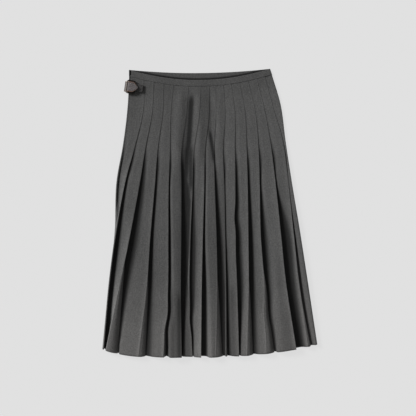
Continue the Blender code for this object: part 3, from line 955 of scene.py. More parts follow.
@dataclass
class FrontPanel:
    """The pleated front, sewn down to the hip and open below it.

    A pair whose name ends in from says where down the panel a change starts and ends, from 0 at
    the band's seam to 1 at the hem. A tuple of seven holds a value for each of the outline's
    stations, and overlap for the first five of them.
    """

    outline: Outline
    cut: Point = (0.90, 0.70)
    cut_area: float = 0.56
    pleats: tuple[Pleat, ...] = (
        Pleat((-166, -167.5, -187.5, -213.5, -236, -252, -264.5), (6, 9, 11, 9), 1, 1.0,
              (1.5, 3, 3, 3), 7.0, 2.4),
        Pleat((-141, -145, -161.5, -177.5, -200.5, -226, -254), (9, 11.5, 17, 26), 24, 1.1,
              (3, 8, 4, 5), 4.0, 2.2, 1.0, glow_from=0.48),
        Pleat((-116, -119, -131, -139, -150, -158.5, -175.5), (6, 7.5, 10.5, 20), 14, 1.0,
              (9, 16, 12, 4), 3.5, 1.0, 0.6),
        Pleat((-92, -98.5, -100.5, -104, -104.5, -105.5, -115), (4.5, 6, 6, 8), 5, 1.0,
              (3, 4, 9, 14), 4.5, 1.0),
        Pleat((-54, -60, -72, -72, -72.5, -73.5, -71.5), (14.5, 14.5, 11, 2.5), -5, 1.2,
              (4, 6, 9, 12), -3.6, -0.9),
        Pleat((-23, -27.5, -40.5, -44, -49.5, -51.5, -45.5), (4.5, 10.5, 11.5, 4.5), -1, 0.45,
              (9, 9, 8, 5), 1.5, 1.0, 0.6),
        Pleat((-1.5, -3, -13, -15, -18.5, -21, -22.5), (4.5, 6, 11, 12.5), -1, 1.0,
              (3, 5, 4, 1.5), 5.0, 1.3),
        Pleat((14.5, 14.5, 10, 12, 16, 18, 15.5), (6.5, 12, 15.5, 25), 14, 1.1,
              (3, 5, 9, 13), -3.0, -0.3, 0.5),
        Pleat((33.5, 37.5, 32.5, 36, 38, 40, 40.5), (2.4, 2.6, 3.2, 4.2), 2, 0.62,
              (4, 4, 5, 6), 3.0, -0.7),
        Pleat((53, 62, 62.5, 63, 63, 67.5, 71.5), (7.5, 9.5, 10.5, 2.5), -4, 0.95,
              (2, 3, 8, 13), 4.0, 0.3),
        Pleat((73.5, 87.5, 91.5, 94, 95.5, 96.5, 93.5), (7, 11.5, 13.5, 18.5), 13, 1.05,
              (4, 9, 9, 6), 4.0, 1.0, 0.6),
        Pleat((95, 112.5, 121, 124, 126.5, 136, 140.5), (5, 9.5, 9.5, 19), 17, 1.0,
              (2, 3, 5, 9), 5.0, 1.0, 0.9),
        Pleat((117, 135.5, 151, 163.5, 176.5, 189.5, 211), (3, 13, 15, 14.5), -3, 1.2,
              (2.5, 12, 14, 8), 4.5),
        Pleat((137.5, 157, 182.5, 195.5, 208.5, 222, 242), (0.6, 2.4, 4.5, 7), 5, 0.85,
              (2.5, 12, 10, 9), 4.0, 1.0, 0.9, 0.46),
    )
    kinks: tuple[Kink, ...] = (
        Kink(3, 0.835, 0.045, 2.6),
        Kink(3, 0.90, 0.04, -2.2),
        Kink(5, 0.865, 0.04, -2.5),
        Kink(9, 0.49, 0.035, -2.2),
        Kink(9, 0.56, 0.04, 1.0),
        Kink(11, 0.86, 0.05, -3.0),
    )
    swells: tuple[Swell, ...] = (
        Swell(-118, -125, 3.0, 42),
        Swell(-31, -26, 4.0, 24),
        Swell(62, 70, 3.4, 46),
    )
    swell_from: Point = (-0.12, 0.1)
    swell_fade_from: Point = (0.42, 0.85)
    swell_margin: float = 25
    creases: tuple[Crease, ...] = (
        Crease((-72, 322), (-80, 120), 12, 5.2, 40),
        Crease((-45, 315), (-55, 150), 8.5, -2.0, 60, 0.9),
        Crease((-56, 170), (-62, 80), 9, -2.4, 35, 0.88),
        Crease((-49, 168), (-48, 60), 9, -0.8, 30, 0.74),
        Crease((-27, 322), (-27, 150), 11, 3.2, 40),
        Crease((0, 310), (2, 200), 5.5, -2.2, 30, 0.44),
        Crease((5, 275), (11, 190), 8, -0.4, 35, 0.36),
        Crease((0, 205), (11, 130), 6, -2.2, 25, 0.82),
        Crease((16, 322), (24, 150), 11, 2.6, 40),
        Crease((160, -110), (181, -330), 8, 2.2, 40),
        Crease((-77, -205), (-77, -370), 10, -1.5, 50, 0.62),
        Crease((-96, -190), (-96, -380), 12, -0.5, 60, 0.52),
        Crease((53, -180), (58, -380), 13, -0.4, 60, 0.50),
        Crease((192, -240), (202, -380), 13, -0.3, 60, 0.32),
        Crease((-80, 262), (-80, 150), 12, 0.0, 40, 0.32),
        Crease((-150, 120), (-178, -60), 9, 0.8),
        Crease((-128, 60), (-133, -130), 7, -0.7),
        Crease((76, 40), (80, -220), 6, 0.8),
        Crease((150, 60), (160, -130), 7, -0.8),
    )
    crease_margin: float = 30
    waver: float = 0.45
    waver_scale: float = 42
    waver_seed: float = 3.1
    shade_from: Point = (0.19, 0.33)
    crease_from: Point = (0.0, 0.065)
    side_from: Point = (0.47, 0.72)
    side_swell: float = 5.5
    side_light: float = 0.92
    band_step: float = 1.7
    band_reach: float = 0.05
    under_band: float = 0.006
    hip_gap: float = 4
    overlap: tuple[float, ...] = (-8, -10, -15, -12, -7)
    lower_opening: float = 0.45
    wall: float = 0.9
    fullness: tuple[float, ...] = (0.25, 0.38, 0.9, 1.0)
    fullness_at: tuple[float, ...] = (0.0, 0.12, 0.3, 1.0)
    layers: tuple[float, ...] = (0.26, 0.42, 0.85, 1.3, 1.3, 1.3, 1.3)
    rise: tuple[float, ...] = (0.5, 0.9, 2.4, 6.5, 11.0, 12.5, 13.5)
    face_roll: float = 2.5
    roll_share: float = 0.4
    widest_roll: float = 0.85
    roll_foot: float = 0.04
    corner_shares: Point = (0.04, 0.96)
    past_fold: float = 1
    narrowest_face: float = 2.5
    narrowest_run: float = 0.5
    clearances: Point = (1.4, 2.2)
    side_radius: float = 1.2
    left_turn_rise: tuple[float, ...] = (1.4, 1.5, 2.0, 5.5, 2.4, 2.4, 2.4)
    right_turn_rise: tuple[float, ...] = (1.5, 1.6, 2.0, 5.5, 8.5, 9.0, 9.0)
    right_turn_radius: tuple[float, ...] = (1.2, 1.1, 1.1, 1.6, 3.0, 3.5, 3.5)
    left_valley: float = 3.4
    left_gap: float = 5.5
    left_lift_from: Point = (0.43, 0.50)
    left_fade_from: Point = (0.48, 0.56)
    left_valley_top: float = 0.8
    left_valley_from: Point = (0.24, 0.34)
    glow_width: float = 6.0
    glow_past: float = 2.0
    sewn_glow: float = 0.15
    glow_reach: float = 0.14
    full_rise: float = 11.5
    droop_bend: float = 1.5
    last_droop: float = 2.0
    rounding: float = 0.35
    falling: float = 0.62
    left_wall_rise: float = 5.5
    slit_shade: float = 0.8
    slit_fade_from: Point = (0.02, 0.05)
    left_light: float = 0.5
    left_light_from: Point = (0.72, 0.97)
    opening_fade: float = 0.08
    hem_lift: float = 2.5
    hem_from: Point = (0.85, 1)
    last_margins: Point = (1, 1.5)
    last_blend: float = 8
    last_roll: Point = (1, 6)
    last_light: float = 0.45
    face_points: int = 11
    wall_points: int = 3
    arc_steps: int = 4
    rows: int = 128

    def fold_places(self, t: float) -> list[float]:
        """Each folded edge's distance from the middle line at t, kinks included.

        Args:
            t: The place down the panel.

        Returns:
            The distances, from the left pleat to the right one.
        """
        places = [self.outline.read(pleat.folds, t) for pleat in self.pleats]
        for kink in self.kinks:
            places[kink.pleat] += kink.shift * math.exp(-(((t - kink.t) / kink.half) ** 2))
        return places

    def circles(self, t: float) -> tuple[list[Circle], list[Point]]:
        """The folds at t.

        Args:
            t: The place down the panel, from 0 at the band's seam to 1 at the hem.

        Returns:
            The turning circles, and the lower and upper end of each face's roll.
        """
        shape = self.outline
        base, step = shape.front_base, shape.read(self.layers, t)
        radius = step / 2
        opened = shape.opened(t)
        lifted = eased(self.left_lift_from, t)
        faded = eased(self.left_fade_from, t)
        edge = shape.read(shape.left_edge, t) + self.wall / 2
        turn_z = base + shape.read(self.left_turn_rise, t) - self.side_radius
        first_x = mix(edge + self.left_valley + radius, edge - radius, faded)
        shallow = radius + self.left_valley_top * (1 - eased(self.left_valley_from, t))
        first_z = base + mix(shallow, self.left_wall_rise, lifted)
        circles = [
            Circle(edge, shape.side_seam),
            Circle(edge + self.side_radius, turn_z, self.side_radius, Turn.RIGHT),
            Circle(first_x, first_z, radius, Turn.LEFT),
        ]
        folds = self.fold_places(t)
        starts = [edge + self.left_gap]
        for pleat, fold in zip(self.pleats, folds):
            starts.append(fold + shape.read((0, 0, self.hip_gap, *pleat.gaps), t))
        rolls = []
        for number, (pleat, fold) in enumerate(zip(self.pleats, folds)):
            start = min(starts[number], fold - self.narrowest_face)
            roll = min(self.face_roll, self.roll_share * (fold - start))
            broad = shape.read((roll, roll, roll, *pleat.rolls), t)
            high = start + max(roll, min(broad, self.widest_roll * (fold - start)))
            if number == 0:
                high = mix(high, edge + self.side_radius, faded)
            lower = mix(self.overlap[-1], pleat.valley, self.lower_opening)
            overlap = shape.read((*self.overlap, lower, pleat.valley), t)
            valley = max(fold + overlap, start + roll + mix(*self.clearances, opened))
            pressed = max(folds[number - 1] + self.past_fold if number else start, edge)
            low_end = mix(pressed, start - roll, opened)
            rolls.append((low_end, mix(valley - self.clearances[0], high, opened)))
            height = 2 * step + max(0.0, shape.read(self.rise, t) - 2 * step) * pleat.rise
            circles.append(Circle(fold - radius, base + height - radius, radius, Turn.RIGHT))
            circles.append(Circle(valley + radius, base + radius, radius, Turn.LEFT))
        turn = shape.read(self.right_turn_radius, t)
        edge = shape.read(shape.right_edge, t) - self.wall / 2
        last = max(starts[-1], circles[-1].x + self.face_roll)
        last = min(last, edge - turn - self.last_margins[0])
        low_end = mix(folds[-1] + self.past_fold, last - self.face_roll / 2, opened)
        roll = mix(*self.last_roll, eased(self.side_from, t))
        rolls.append((low_end, mix(edge - turn - self.last_margins[1], last + roll, opened)))
        turn_z = base + shape.read(self.right_turn_rise, t) - turn
        circles.append(Circle(edge - turn, turn_z, turn, Turn.RIGHT))
        circles.append(Circle(edge, shape.side_seam))
        return circles, rolls

    def section(self, t: float) -> list[Point]:
        """The cross-section's middle line at t.

        Args:
            t: The place down the panel.

        Returns:
            The line's points, from left to right.
        """
        circles, rolls = self.circles(t)
        opened = self.outline.opened(t)
        faded = eased(self.left_fade_from, t)
        flat = min(1.0, self.outline.read(self.rise, t) / self.full_rise) ** self.droop_bend

        def fill(i: int, start: Point, end: Point) -> list[Point]:
            """The points on the run after a circle.

            Args:
                i: The circle's number.
                start: The run's start.
                end: Its end.

            Returns:
                The points between the two.
            """
            if i % 2 == 1 or i == len(circles) - 2:
                count = self.wall_points
                shares = [k / (count + 1) for k in range(1, count + 1)]
                number = (i - 3) // 2
                side = self.pleats[number].side if 0 <= number < len(self.pleats) else 0.0
                full = side * self.side_swell * eased(self.side_from, t)
                return [
                    (mix(start[0], end[0], s), mix(start[1], end[1], s) + full * math.sin(math.pi * s))
                    for s in shares
                ]
            number = i // 2 - 1
            low, high = rolls[number]
            is_last = number == len(self.pleats)
            droop = opened * flat * (self.last_droop if is_last else self.pleats[number].droop)
            rounding = self.rounding if droop > 0 else self.falling
            straight = faded if i == 2 else 0.0
            top = end[1] - start[1]
            wanted = (
                (low, start[1] + self.roll_foot * top),
                (high, end[1] - droop),
                (mix(high, end[0], 0.5), end[1] - rounding * droop),
            )
            least, most = self.corner_shares
            corners = [start]
            for k, (x, z) in enumerate(wanted, start=1):
                share = (x - start[0]) / max(end[0] - start[0], self.narrowest_run)
                share = min(most, max(least * k, share))
                x = mix(start[0], end[0], mix(share, k / 4, straight))
                corners.append((x, mix(z, start[1] + top * k / 4, straight)))
            return soft_path([*corners, end], self.face_points)

        return Belt(circles, self.arc_steps).points(fill)

    def fold_columns(self) -> list[int]:
        """The column in the middle of each outer fold.

        Returns:
            The columns, from the left pleat to the right one.
        """
        arc, face = self.arc_steps + 1, self.face_points
        wall = self.wall_points
        first = 1 + arc + wall + arc + face + self.arc_steps // 2
        return [first + k * (arc + wall + arc + face) for k in range(len(self.pleats))]

    @property
    def first_valley(self) -> int:
        """The column at which the first inner fold starts."""
        return 1 + self.arc_steps + 1 + self.wall_points

    def glow(self, run: np.ndarray, stages: np.ndarray) -> np.ndarray:
        """Painted highlight on the cloth near its folded edges.

        Args:
            run: How far along its row each place is.
            stages: Where down the panel each row is.

        Returns:
            The painted highlight that is added at each place, and painted shade where it is below 0.
        """
        found = np.zeros_like(run)
        for column, pleat in zip(self.fold_columns(), self.pleats):
            before = run[:, [column]] - run
            width = np.where(before > 0, self.glow_width * max(1.0, pleat.glow), self.glow_past)
            share = smooth_step(pleat.glow_from, pleat.glow_from + self.glow_reach, stages)[:, None]
            here = pleat.glow * mix(self.sewn_glow, 1.0, share) * np.exp(-((before / width) ** 2))
            found = np.where(abs(here) > abs(found), here, found)
        return found

    def across(self, run: np.ndarray) -> np.ndarray:
        """Where each place lies across the flat cloth, measured from its own pleat's edge.

        Args:
            run: How far along its row each place is.

        Returns:
            The same, moved so that each folded edge runs straight down the flat cloth.
        """
        folds = self.fold_columns()
        to_valley = self.arc_steps + self.wall_points + 1
        limits = [0, *(column + to_valley for column in folds), run.shape[1]]
        found = run.copy()
        for start, end, anchor in zip(limits, limits[1:], [*folds, run.shape[1] - 1]):
            found[:, start:end] += run[0, anchor] - run[:, [anchor]]
        return found

    def sheet(self) -> ClothSheet:
        """The front as a grid of places, from the hem up.

        Returns:
            The sheet.
        """
        shape = self.outline
        stages = np.linspace(1, -self.under_band, self.rows)
        sections = [self.section(float(t)) for t in stages]
        places = np.zeros((self.rows, len(sections[0]), 3))
        painted_shade = np.zeros(places.shape[:2])
        folds = self.fold_columns()
        last = self.pleats[-1].folds
        for j, (t, section) in enumerate(zip(stages, sections)):
            x, z = np.array(section).T
            at_right = smooth_step(0, self.last_blend, x - shape.read(last, t))
            rise = mix(shape.read(self.rise, t), shape.read(self.right_turn_rise, t), at_right)
            # Painted shade: cloth lying deeper between the folds, the slit at the left edge and each gap
            # are darkened, less so on the side walls and faces that are lit near the hem.
            sunk = np.clip(1 - (z - shape.front_base) / rise, 0.0, 1.0)
            painted_shade[j] = sunk * smooth_step(*self.shade_from, t)
            painted_shade[j, : self.first_valley] = self.slit_shade * (1 - eased(self.slit_fade_from, t))
            painted_shade[j, : folds[0]] *= 1 - self.left_light * eased(self.left_light_from, t)
            at_side = eased(self.side_from, t)
            painted_shade[j, folds[-1] :] *= 1 - self.last_light * at_side
            for column, pleat in zip(folds, self.pleats):
                wall_end = column + self.wall_points + self.arc_steps
                painted_shade[j, column:wall_end] *= 1 - self.side_light * at_side * pleat.side
                if pleat.opens:
                    shaded = eased((pleat.opens - self.opening_fade, pleat.opens), t)
                    painted_shade[j, column : wall_end + self.face_points] *= shaded
            raised = self.hem_lift * painted_shade[j] * smooth_step(*self.hem_from, t)
            y = shape.down_y(x, t, shape.front_dip) + raised
            inward = smooth_step(0, self.swell_margin, np.minimum(x - x[0], x[-1] - x))
            to_band = self.band_step * (1 - eased((0, self.band_reach), t))
            level = z + (self.swell(x, t) + to_band) * inward + shape.lift(x, y)
            places[j] = np.stack([x, y, level], axis=1)
        x = places[..., 0]
        inward = smooth_step(0, self.crease_margin, np.minimum(x - x[:, :1], x[:, -1:] - x))
        inward = inward * smooth_step(*self.crease_from, stages)[:, None]
        # Each crease also adds its painted shade along its line.
        for crease in self.creases:
            strength = inward * crease.strength_at(places[..., 0], places[..., 1])
            places[..., 2] += crease.height * strength
            painted_shade = np.maximum(painted_shade, crease.shade * strength)
        places[..., 2] += self.waver * inward * wander(places, self.waver_scale, self.waver_seed)
        run = run_lengths(places)
        # Painted highlight along the folded edges, and painted shade on faces that fall away.
        painted_edge_light = self.glow(run, stages)
        down = np.broadcast_to(stages[:, None] * self.cut[1] * METRE, run.shape)
        spread = np.stack([self.across(run), down], axis=2) * MM
        places += np.array(shape.centring)
        fullness = np.array([along(self.fullness, t, self.fullness_at) for t in stages])
        marks = {"painted_shade": painted_shade, "painted_edge_light": painted_edge_light}
        return ClothSheet("front_panel", places, spread, marks, fullness)

    def swell(self, x: Number, t: float) -> Number:
        """The height that the broad folds add at t.

        Args:
            x: Places from left to right.
            t: The place down the panel.

        Returns:
            The height that is added at each of them.
        """
        fade = (1 - smooth_step(*self.swell_fade_from, t)) * smooth_step(*self.swell_from, t)
        total = 0.0
        for fold in self.swells:
            middle = mix(fold.top_x, fold.low_x, t / self.swell_fade_from[1])
            total = total + fold.height * np.exp(-(((x - middle) / fold.width) ** 2))
        return total * fade

    def build(self, wool: bpy.types.Material) -> bpy.types.Object:
        """Makes the front and dresses it in wool.

        Args:
            wool: The cloth's material.

        Returns:
            The piece.
        """
        piece = add_piece(self.sheet().mesh(), wool, "front")
        thicken(piece, self.wall, uneven=True)
        return piece


@dataclass
class BackPanel:
    """The pleated back, pressed flat under the front."""

    outline: Outline
    cut: Point = (0.96, 0.70)
    cut_area: float = 0.62
    pleats: int = 14
    overlap: float = 14
    step: float = 6
    first_fold: float = 0.3
    beside_fold: float = 1
    back_painted_shade: float = 0.5
    turn_radius: float = 1.6
    shorter: float = 3
    under_band: float = 0.006
    flatter: float = 0.5
    flatter_fade_from: Point = (0.006, 0.02)
    side_free: float = 12
    arc_steps: int = 4
    face_points: int = 4
    rows: int = 80

    def section(self, t: float) -> list[Point]:
        """The cross-section's middle line at t, from left to right.

        Args:
            t: The place down the panel.

        Returns:
            The line's points.
        """
        shape, radius = self.outline, self.outline.fold_radius
        level = shape.wall / 2
        left = shape.read(shape.left_edge, t) + shape.wall / 2
        right = shape.read(shape.right_edge, t) - shape.wall / 2
        circles = [
            Circle(-right, shape.side_seam),
            Circle(-right + self.turn_radius, level + self.turn_radius, self.turn_radius, Turn.LEFT),
        ]
        pitch = (right - left) / (self.pleats + 1)
        for k in range(1, self.pleats + 1):
            fold = -right + pitch * (k + self.first_fold)
            top = level + 2 * shape.layer
            circles += [
                Circle(fold - radius, level + radius, radius, Turn.LEFT),
                Circle(fold - self.overlap + radius, level + radius + shape.layer, radius, Turn.RIGHT),
                Circle(fold + self.beside_fold, top),
                Circle(fold + self.beside_fold + self.step, level),
            ]
        circles += [
            Circle(-left - self.turn_radius, level + self.turn_radius, self.turn_radius, Turn.LEFT),
            Circle(-left, shape.side_seam),
        ]

        def fill(i: int, start: Point, end: Point) -> list[Point]:
            """Even points on the run after a circle, eased where the run goes down a layer.

            Args:
                i: The circle's number.
                start: The run's start.
                end: Its end.

            Returns:
                The points between the two.
            """
            shares = [k / (self.face_points + 1) for k in range(1, self.face_points + 1)]
            slope = circles[i].turn is Turn.NONE
            risen = [eased((0, 1), s) if slope else s for s in shares]
            return [
                (mix(start[0], end[0], s), mix(start[1], end[1], up)) for s, up in zip(shares, risen)
            ]

        return [(-x, z) for x, z in Belt(circles, self.arc_steps).points(fill)]

    def sheet(self) -> ClothSheet:
        """The back as a grid of places, from the waist down.

        Returns:
            The sheet.
        """
        shape = self.outline
        stages = np.linspace(-self.under_band, 1, self.rows)
        sections = [self.section(float(t)) for t in stages]
        level = shape.wall / 2
        places = np.zeros((self.rows, len(sections[0]), 3))
        for j, (t, section) in enumerate(zip(stages, sections)):
            x, z = np.array(section).T
            inward = smooth_step(0, self.side_free, np.minimum(x - x.min(), x.max() - x))
            z = mix(z, level, self.flatter * inward * (1 - smooth_step(*self.flatter_fade_from, t)))
            y = shape.down_y(x, t, shape.back_dip, self.shorter)
            places[j] = np.stack([x, y, z + shape.lift(x, y)], axis=1)
        run = run_lengths(places)
        # Painted shade on the back's raised layers, which show in the waist opening.
        painted_shade = np.clip((places[..., 2] - level) / (2 * shape.layer), 0, 1) * self.back_painted_shade
        across = np.broadcast_to(run[-1], run.shape)
        down = np.broadcast_to(stages[:, None] * self.cut[1] * METRE, run.shape)
        spread = np.stack([across, down], axis=2) * MM
        places += np.array(shape.centring)
        marks = {"painted_shade": painted_shade, "painted_edge_light": np.zeros_like(painted_shade)}
        return ClothSheet("back_panel", places, spread, marks)

    def build(self, wool: bpy.types.Material) -> bpy.types.Object:
        """Makes the back and dresses it in wool.

        Args:
            wool: The cloth's material.

        Returns:
            The piece.
        """
        piece = add_piece(self.sheet().mesh(), wool, "back")
        thicken(piece, self.outline.wall)
        return piece


@dataclass
class Waistband:
    """One folded band, from the back's left end round the right side to the front's free end."""

    outline: Outline
    front: FrontPanel
    wall: float = 3.6
    left_end: float = -197.5
    segments: int = 110
    arc_steps: int = 10
    across: int = 10
    edge_round: float = 1.1
    end_drop: float = 1.2
    past_side: float = 0.4
    right_margin: float = 40
    end_margin: float = 25
    flare_bend: int = 3
    opening: Point = (1.0, 9.0)
    back_extra: float = 3.5

    def path(self) -> list[tuple[float, float, float]]:
        """The band's middle line, from the back's left end round the right side.

        Returns:
            Each point's x and z, and how far on the front it is, from 0 to 1.
        """
        shape = self.outline
        low = self.wall / 2 + FLOOR_GAP
        high = shape.front_base + shape.layer
        left = shape.left_edge[0] - self.past_side + self.wall / 2
        right = shape.waist_middle + shape.waist_half - self.wall / 2
        radius = (high - low) / 2
        quarter = [math.pi / 2 * k / self.arc_steps for k in range(self.arc_steps + 1)]
        path = [(left, high - self.end_drop, 0.0)]
        path += [
            (left + radius * (1 - math.cos(a)), low + radius * (1 - math.sin(a)), 0.0) for a in quarter
        ]
        start, end = left + radius, right - radius
        shares = [k / self.segments for k in range(1, self.segments + 1)]
        path += [(mix(start, end, s), low, 0.0) for s in shares]
        path += [
            (end + radius * math.sin(2 * a), low + radius * (1 - math.cos(2 * a)), math.sin(a) ** 2)
            for a in quarter[1:]
        ]
        return path + [(mix(end, self.left_end, s), high, 1.0) for s in shares]

    def sheet(self) -> ClothSheet:
        """The band as a grid of places, from its top edge down.

        Returns:
            The sheet.
        """
        shape = self.outline
        x, z, share = np.array(self.path()).T
        end = shape.waist_middle + shape.waist_half - self.wall
        places = np.zeros((self.across, len(x), 3))
        middle = np.clip(1 - ((x - shape.waist_middle) / shape.waist_half) ** 2, 0, 1)
        height = shape.band_height + self.back_extra * (1 - share) * middle**2
        to_right = np.maximum(0.0, (x - shape.waist_middle) / shape.waist_half) ** self.flare_bend
        for j in range(self.across):
            down = j / (self.across - 1)
            flared = x + shape.waist_flare * down * to_right
            y = shape.waist_y(flared, mix(shape.back_dip, shape.front_dip, share)) - height * down
            inward = smooth_step(0, self.right_margin, end - flared)
            inward = inward * smooth_step(0, self.end_margin, flared - self.left_end)
            level = z + share * inward * self.front.swell(flared, 0.0) + shape.lift(flared, y)
            places[j] = np.stack([flared, y, level], axis=1)
        run = run_lengths(places)
        down = np.broadcast_to(np.linspace(0, shape.band_height, self.across)[:, None], run.shape)
        spread = np.stack([run, down - shape.band_height], axis=2) * MM
        # Painted shade on the inside of the back's band, just above the front band's top edge.
        above = places[..., 1] - shape.waist_y(places[..., 0], shape.front_dip)
        inside = 1 - smooth_step(*self.opening, above)
        marks = {"painted_shade": inside * (share < 0.5), "painted_edge_light": np.zeros(run.shape)}
        places += np.array(shape.centring)
        return ClothSheet("waistband_cloth", places, spread, marks)

    def build(self, wool: bpy.types.Material) -> bpy.types.Object:
        """Makes the band and dresses it in wool.

        Args:
            wool: The cloth's material.

        Returns:
            The piece.
        """
        piece = add_piece(self.sheet().mesh(), wool, "waistband")
        thicken(piece, self.wall)
        round_edges(piece, self.edge_round, 3)
        return piece


@dataclass
class Fastening:
    """The strap that comes round the left side, its wire buckle and the buckle's chape.

    Places along the strap are measured to the right of the anchor, before all of it is turned.
    root and tip are the strap's ends, inside the back and on the front, and out is the middle
    of its bend round the side. The shares across are those of half the width, on one side.
    """

    anchor: Point = (-203, 316.5)
    turn_deg: float = -8
    leather: float = 2.2
    strap_width: float = 25
    root: float = 36
    tip: float = 22.5
    point: float = 12
    blunt: float = 0.12
    taper: float = 0.7
    shoulder: float = 4
    past_bar: float = 0.15
    under_wire: float = 0.35
    over_chape: float = 0.8
    out: float = -4.6
    point_bend: float = 1.6
    strap_across: tuple[float, ...] = (0.35, 0.68, 0.76, 0.84, 0.93, 1)
    stitch_at: float = 0.76
    rim_from: float = 0.9
    edge_round: float = 0.5
    arc_steps: int = 14
    buckle_length: float = 25
    buckle_width: float = 34
    wire: float = 3.4
    corner: float = 5
    corner_steps: int = 8
    wire_rounding: int = 6
    buckle_left: float = -8
    height_left: float = 15.9
    height_right: float = 15.6
    chape_length: float = 20
    chape_width: float = 18
    chape_wall: float = 1.5
    chape_across: tuple[float, ...] = (0.4, 0.76, 0.9, 1)
    chape_play: float = 0.3
    chape_gap: float = 0.4
    throat: float = 6
    throat_turn: float = 3
    chape_round: float = 0.35

    def placed(self, mesh: bpy.types.Mesh, outline: Outline) -> bpy.types.Mesh:
        """Turns a mesh with the strap and moves it to the strap's place.

        Args:
            mesh: The mesh, made with the strap along its x axis.
            outline: The skirt's outline, which says how its middle is moved.

        Returns:
            The same mesh.
        """
        x, y, z = outline.centring
        move = Matrix.Translation(Vector((self.anchor[0] + x, self.anchor[1] + y, z)) * MM)
        mesh.transform(move @ Matrix.Rotation(math.radians(self.turn_deg), 4, "Z"))
        return mesh

    def strap_path(self) -> list[Point]:
        """The strap's middle line, from its root to its tip.

        Returns:
            The line's points, along the strap and up.
        """
        low = self.leather / 2 + FLOOR_GAP
        under = self.height_left - self.wire / 2 - self.leather / 2 - self.under_wire
        bend = (under - low) / 2
        over = self.height_right + self.wire / 2 + self.chape_wall + self.leather / 2
        over += self.over_chape
        bar = self.buckle_left + self.wire / 2 + self.past_bar
        round_bar = self.height_left - under
        circles = [
            Circle(self.root, low),
            Circle(self.out, low + bend, bend, Turn.RIGHT),
            Circle(bar, under + round_bar, round_bar, Turn.LEFT),
            Circle(bar + round_bar + self.shoulder, over - self.shoulder, self.shoulder, Turn.RIGHT),
            Circle(self.tip, over),
        ]
        path = Belt(circles, self.arc_steps).points()
        tip_z = path.pop()[1]
        shares = [1 - k / self.arc_steps for k in range(self.arc_steps + 1)]
        rows = [self.point * share**self.point_bend for share in shares]
        return path + [(self.tip - back, tip_z) for back in rows]

    def build_strap(self, outline: Outline, leather: bpy.types.Material) -> bpy.types.Object:
        """Makes the strap, with stitched edges.

        Args:
            outline: The skirt's outline.
            leather: The strap's material.

        Returns:
            The piece.
        """
        path = self.strap_path()
        across = both_ways(self.strap_across)
        places = np.zeros((len(across), len(path), 3))
        thread = np.zeros(places.shape[:2])
        rim = np.zeros(places.shape[:2])
        for i, (x, z) in enumerate(path):
            narrowed = 1.0
            if x > self.tip - self.point and z > self.height_right:
                narrowed = max(self.blunt, max(0.0, (self.tip - x) / self.point) ** self.taper)
            places[:, i] = [(x, share * narrowed * self.strap_width / 2, z) for share in across]
            thread[:, i] = abs(across) == self.stitch_at
            rim[:, i] = abs(across) > self.rim_from
        run = run_lengths(places)
        spread = np.stack([run, places[..., 1]], axis=2) * MM
        sheet = ClothSheet("leather_strap", places, spread, {"thread": thread, "rim": rim})
        piece = add_piece(self.placed(sheet.mesh(), outline), leather, "strap")
        thicken(piece, self.leather)
        round_edges(piece, self.edge_round, 2)
        return piece

    def build_buckle(self, outline: Outline, metal: bpy.types.Material) -> bpy.types.Object:
        """Makes the buckle's frame from round wire.

        Args:
            outline: The skirt's outline.
            metal: The wire's material.

        Returns:
            The piece.
        """
        length, width = self.buckle_length - self.wire, self.buckle_width - self.wire
        middle = self.buckle_left + self.buckle_length / 2
        corners = [(1, 1, 0), (-1, 1, 90), (-1, -1, 180), (1, -1, 270)]
        points = []
        for sx, sy, start in corners:
            for k in range(self.corner_steps + 1):
                a = math.radians(start + 90 * k / self.corner_steps)
                x = sx * (length / 2 - self.corner) + self.corner * math.cos(a)
                y = sy * (width / 2 - self.corner) + self.corner * math.sin(a)
                points.append((x, y))
        curve = bpy.data.curves.new("wire", "CURVE")
        curve.dimensions = "3D"
        curve.bevel_depth = self.wire / 2 * MM
        curve.bevel_resolution = self.wire_rounding
        spline = curve.splines.new("POLY")
        spline.points.add(len(points) - 1)
        for point, (x, y) in zip(spline.points, points):
            z = mix(self.height_left, self.height_right, x / length + 0.5)
            point.co = ((middle + x) * MM, y * MM, z * MM, 1)
        spline.use_cyclic_u = True
        maker = bpy.data.objects.new("wire", curve)
        mesh = bpy.data.meshes.new_from_object(maker)
        mesh.name = "buckle_frame"
        mesh.materials.clear()
        mesh.shade_smooth()
        bpy.data.objects.remove(maker)
        return add_piece(self.placed(mesh, outline), metal, "buckle")

    def build_chape(self, outline: Outline, leather: bpy.types.Material) -> bpy.types.Object:
        """Makes the leather that is folded round the buckle's heel bar.

        Args:
            outline: The skirt's outline.
            leather: The chape's material.

        Returns:
            The piece.
        """
        heel = self.buckle_left + self.buckle_length - self.wire / 2
        turn = self.wire / 2 + self.chape_wall / 2 + self.chape_play
        low = self.height_right - turn
        high = low + self.chape_wall + self.chape_gap
        throat = Circle(heel + self.throat, high + self.throat_turn, self.throat_turn, Turn.LEFT)
        circles = [
            Circle(heel + self.chape_length, low),
            Circle(heel, self.height_right, turn, Turn.RIGHT),
            throat,
            Circle(heel + self.chape_length, high),
        ]
        path = Belt(circles, self.arc_steps).points()
        across = both_ways(self.chape_across)
        places = np.array([[(x, share * self.chape_width / 2, z) for x, z in path] for share in across])
        run = run_lengths(places)
        spread = np.stack([run, places[..., 1]], axis=2) * MM
        rim = np.zeros(places.shape[:2])
        rim[[0, -1]] = 1.0
        marks = {"thread": np.zeros_like(rim), "rim": rim}
        sheet = ClothSheet("chape_leather", places, spread, marks)
        piece = add_piece(self.placed(sheet.mesh(), outline), leather, "chape")
        thicken(piece, self.chape_wall)
        round_edges(piece, self.chape_round, 2)
        return piece


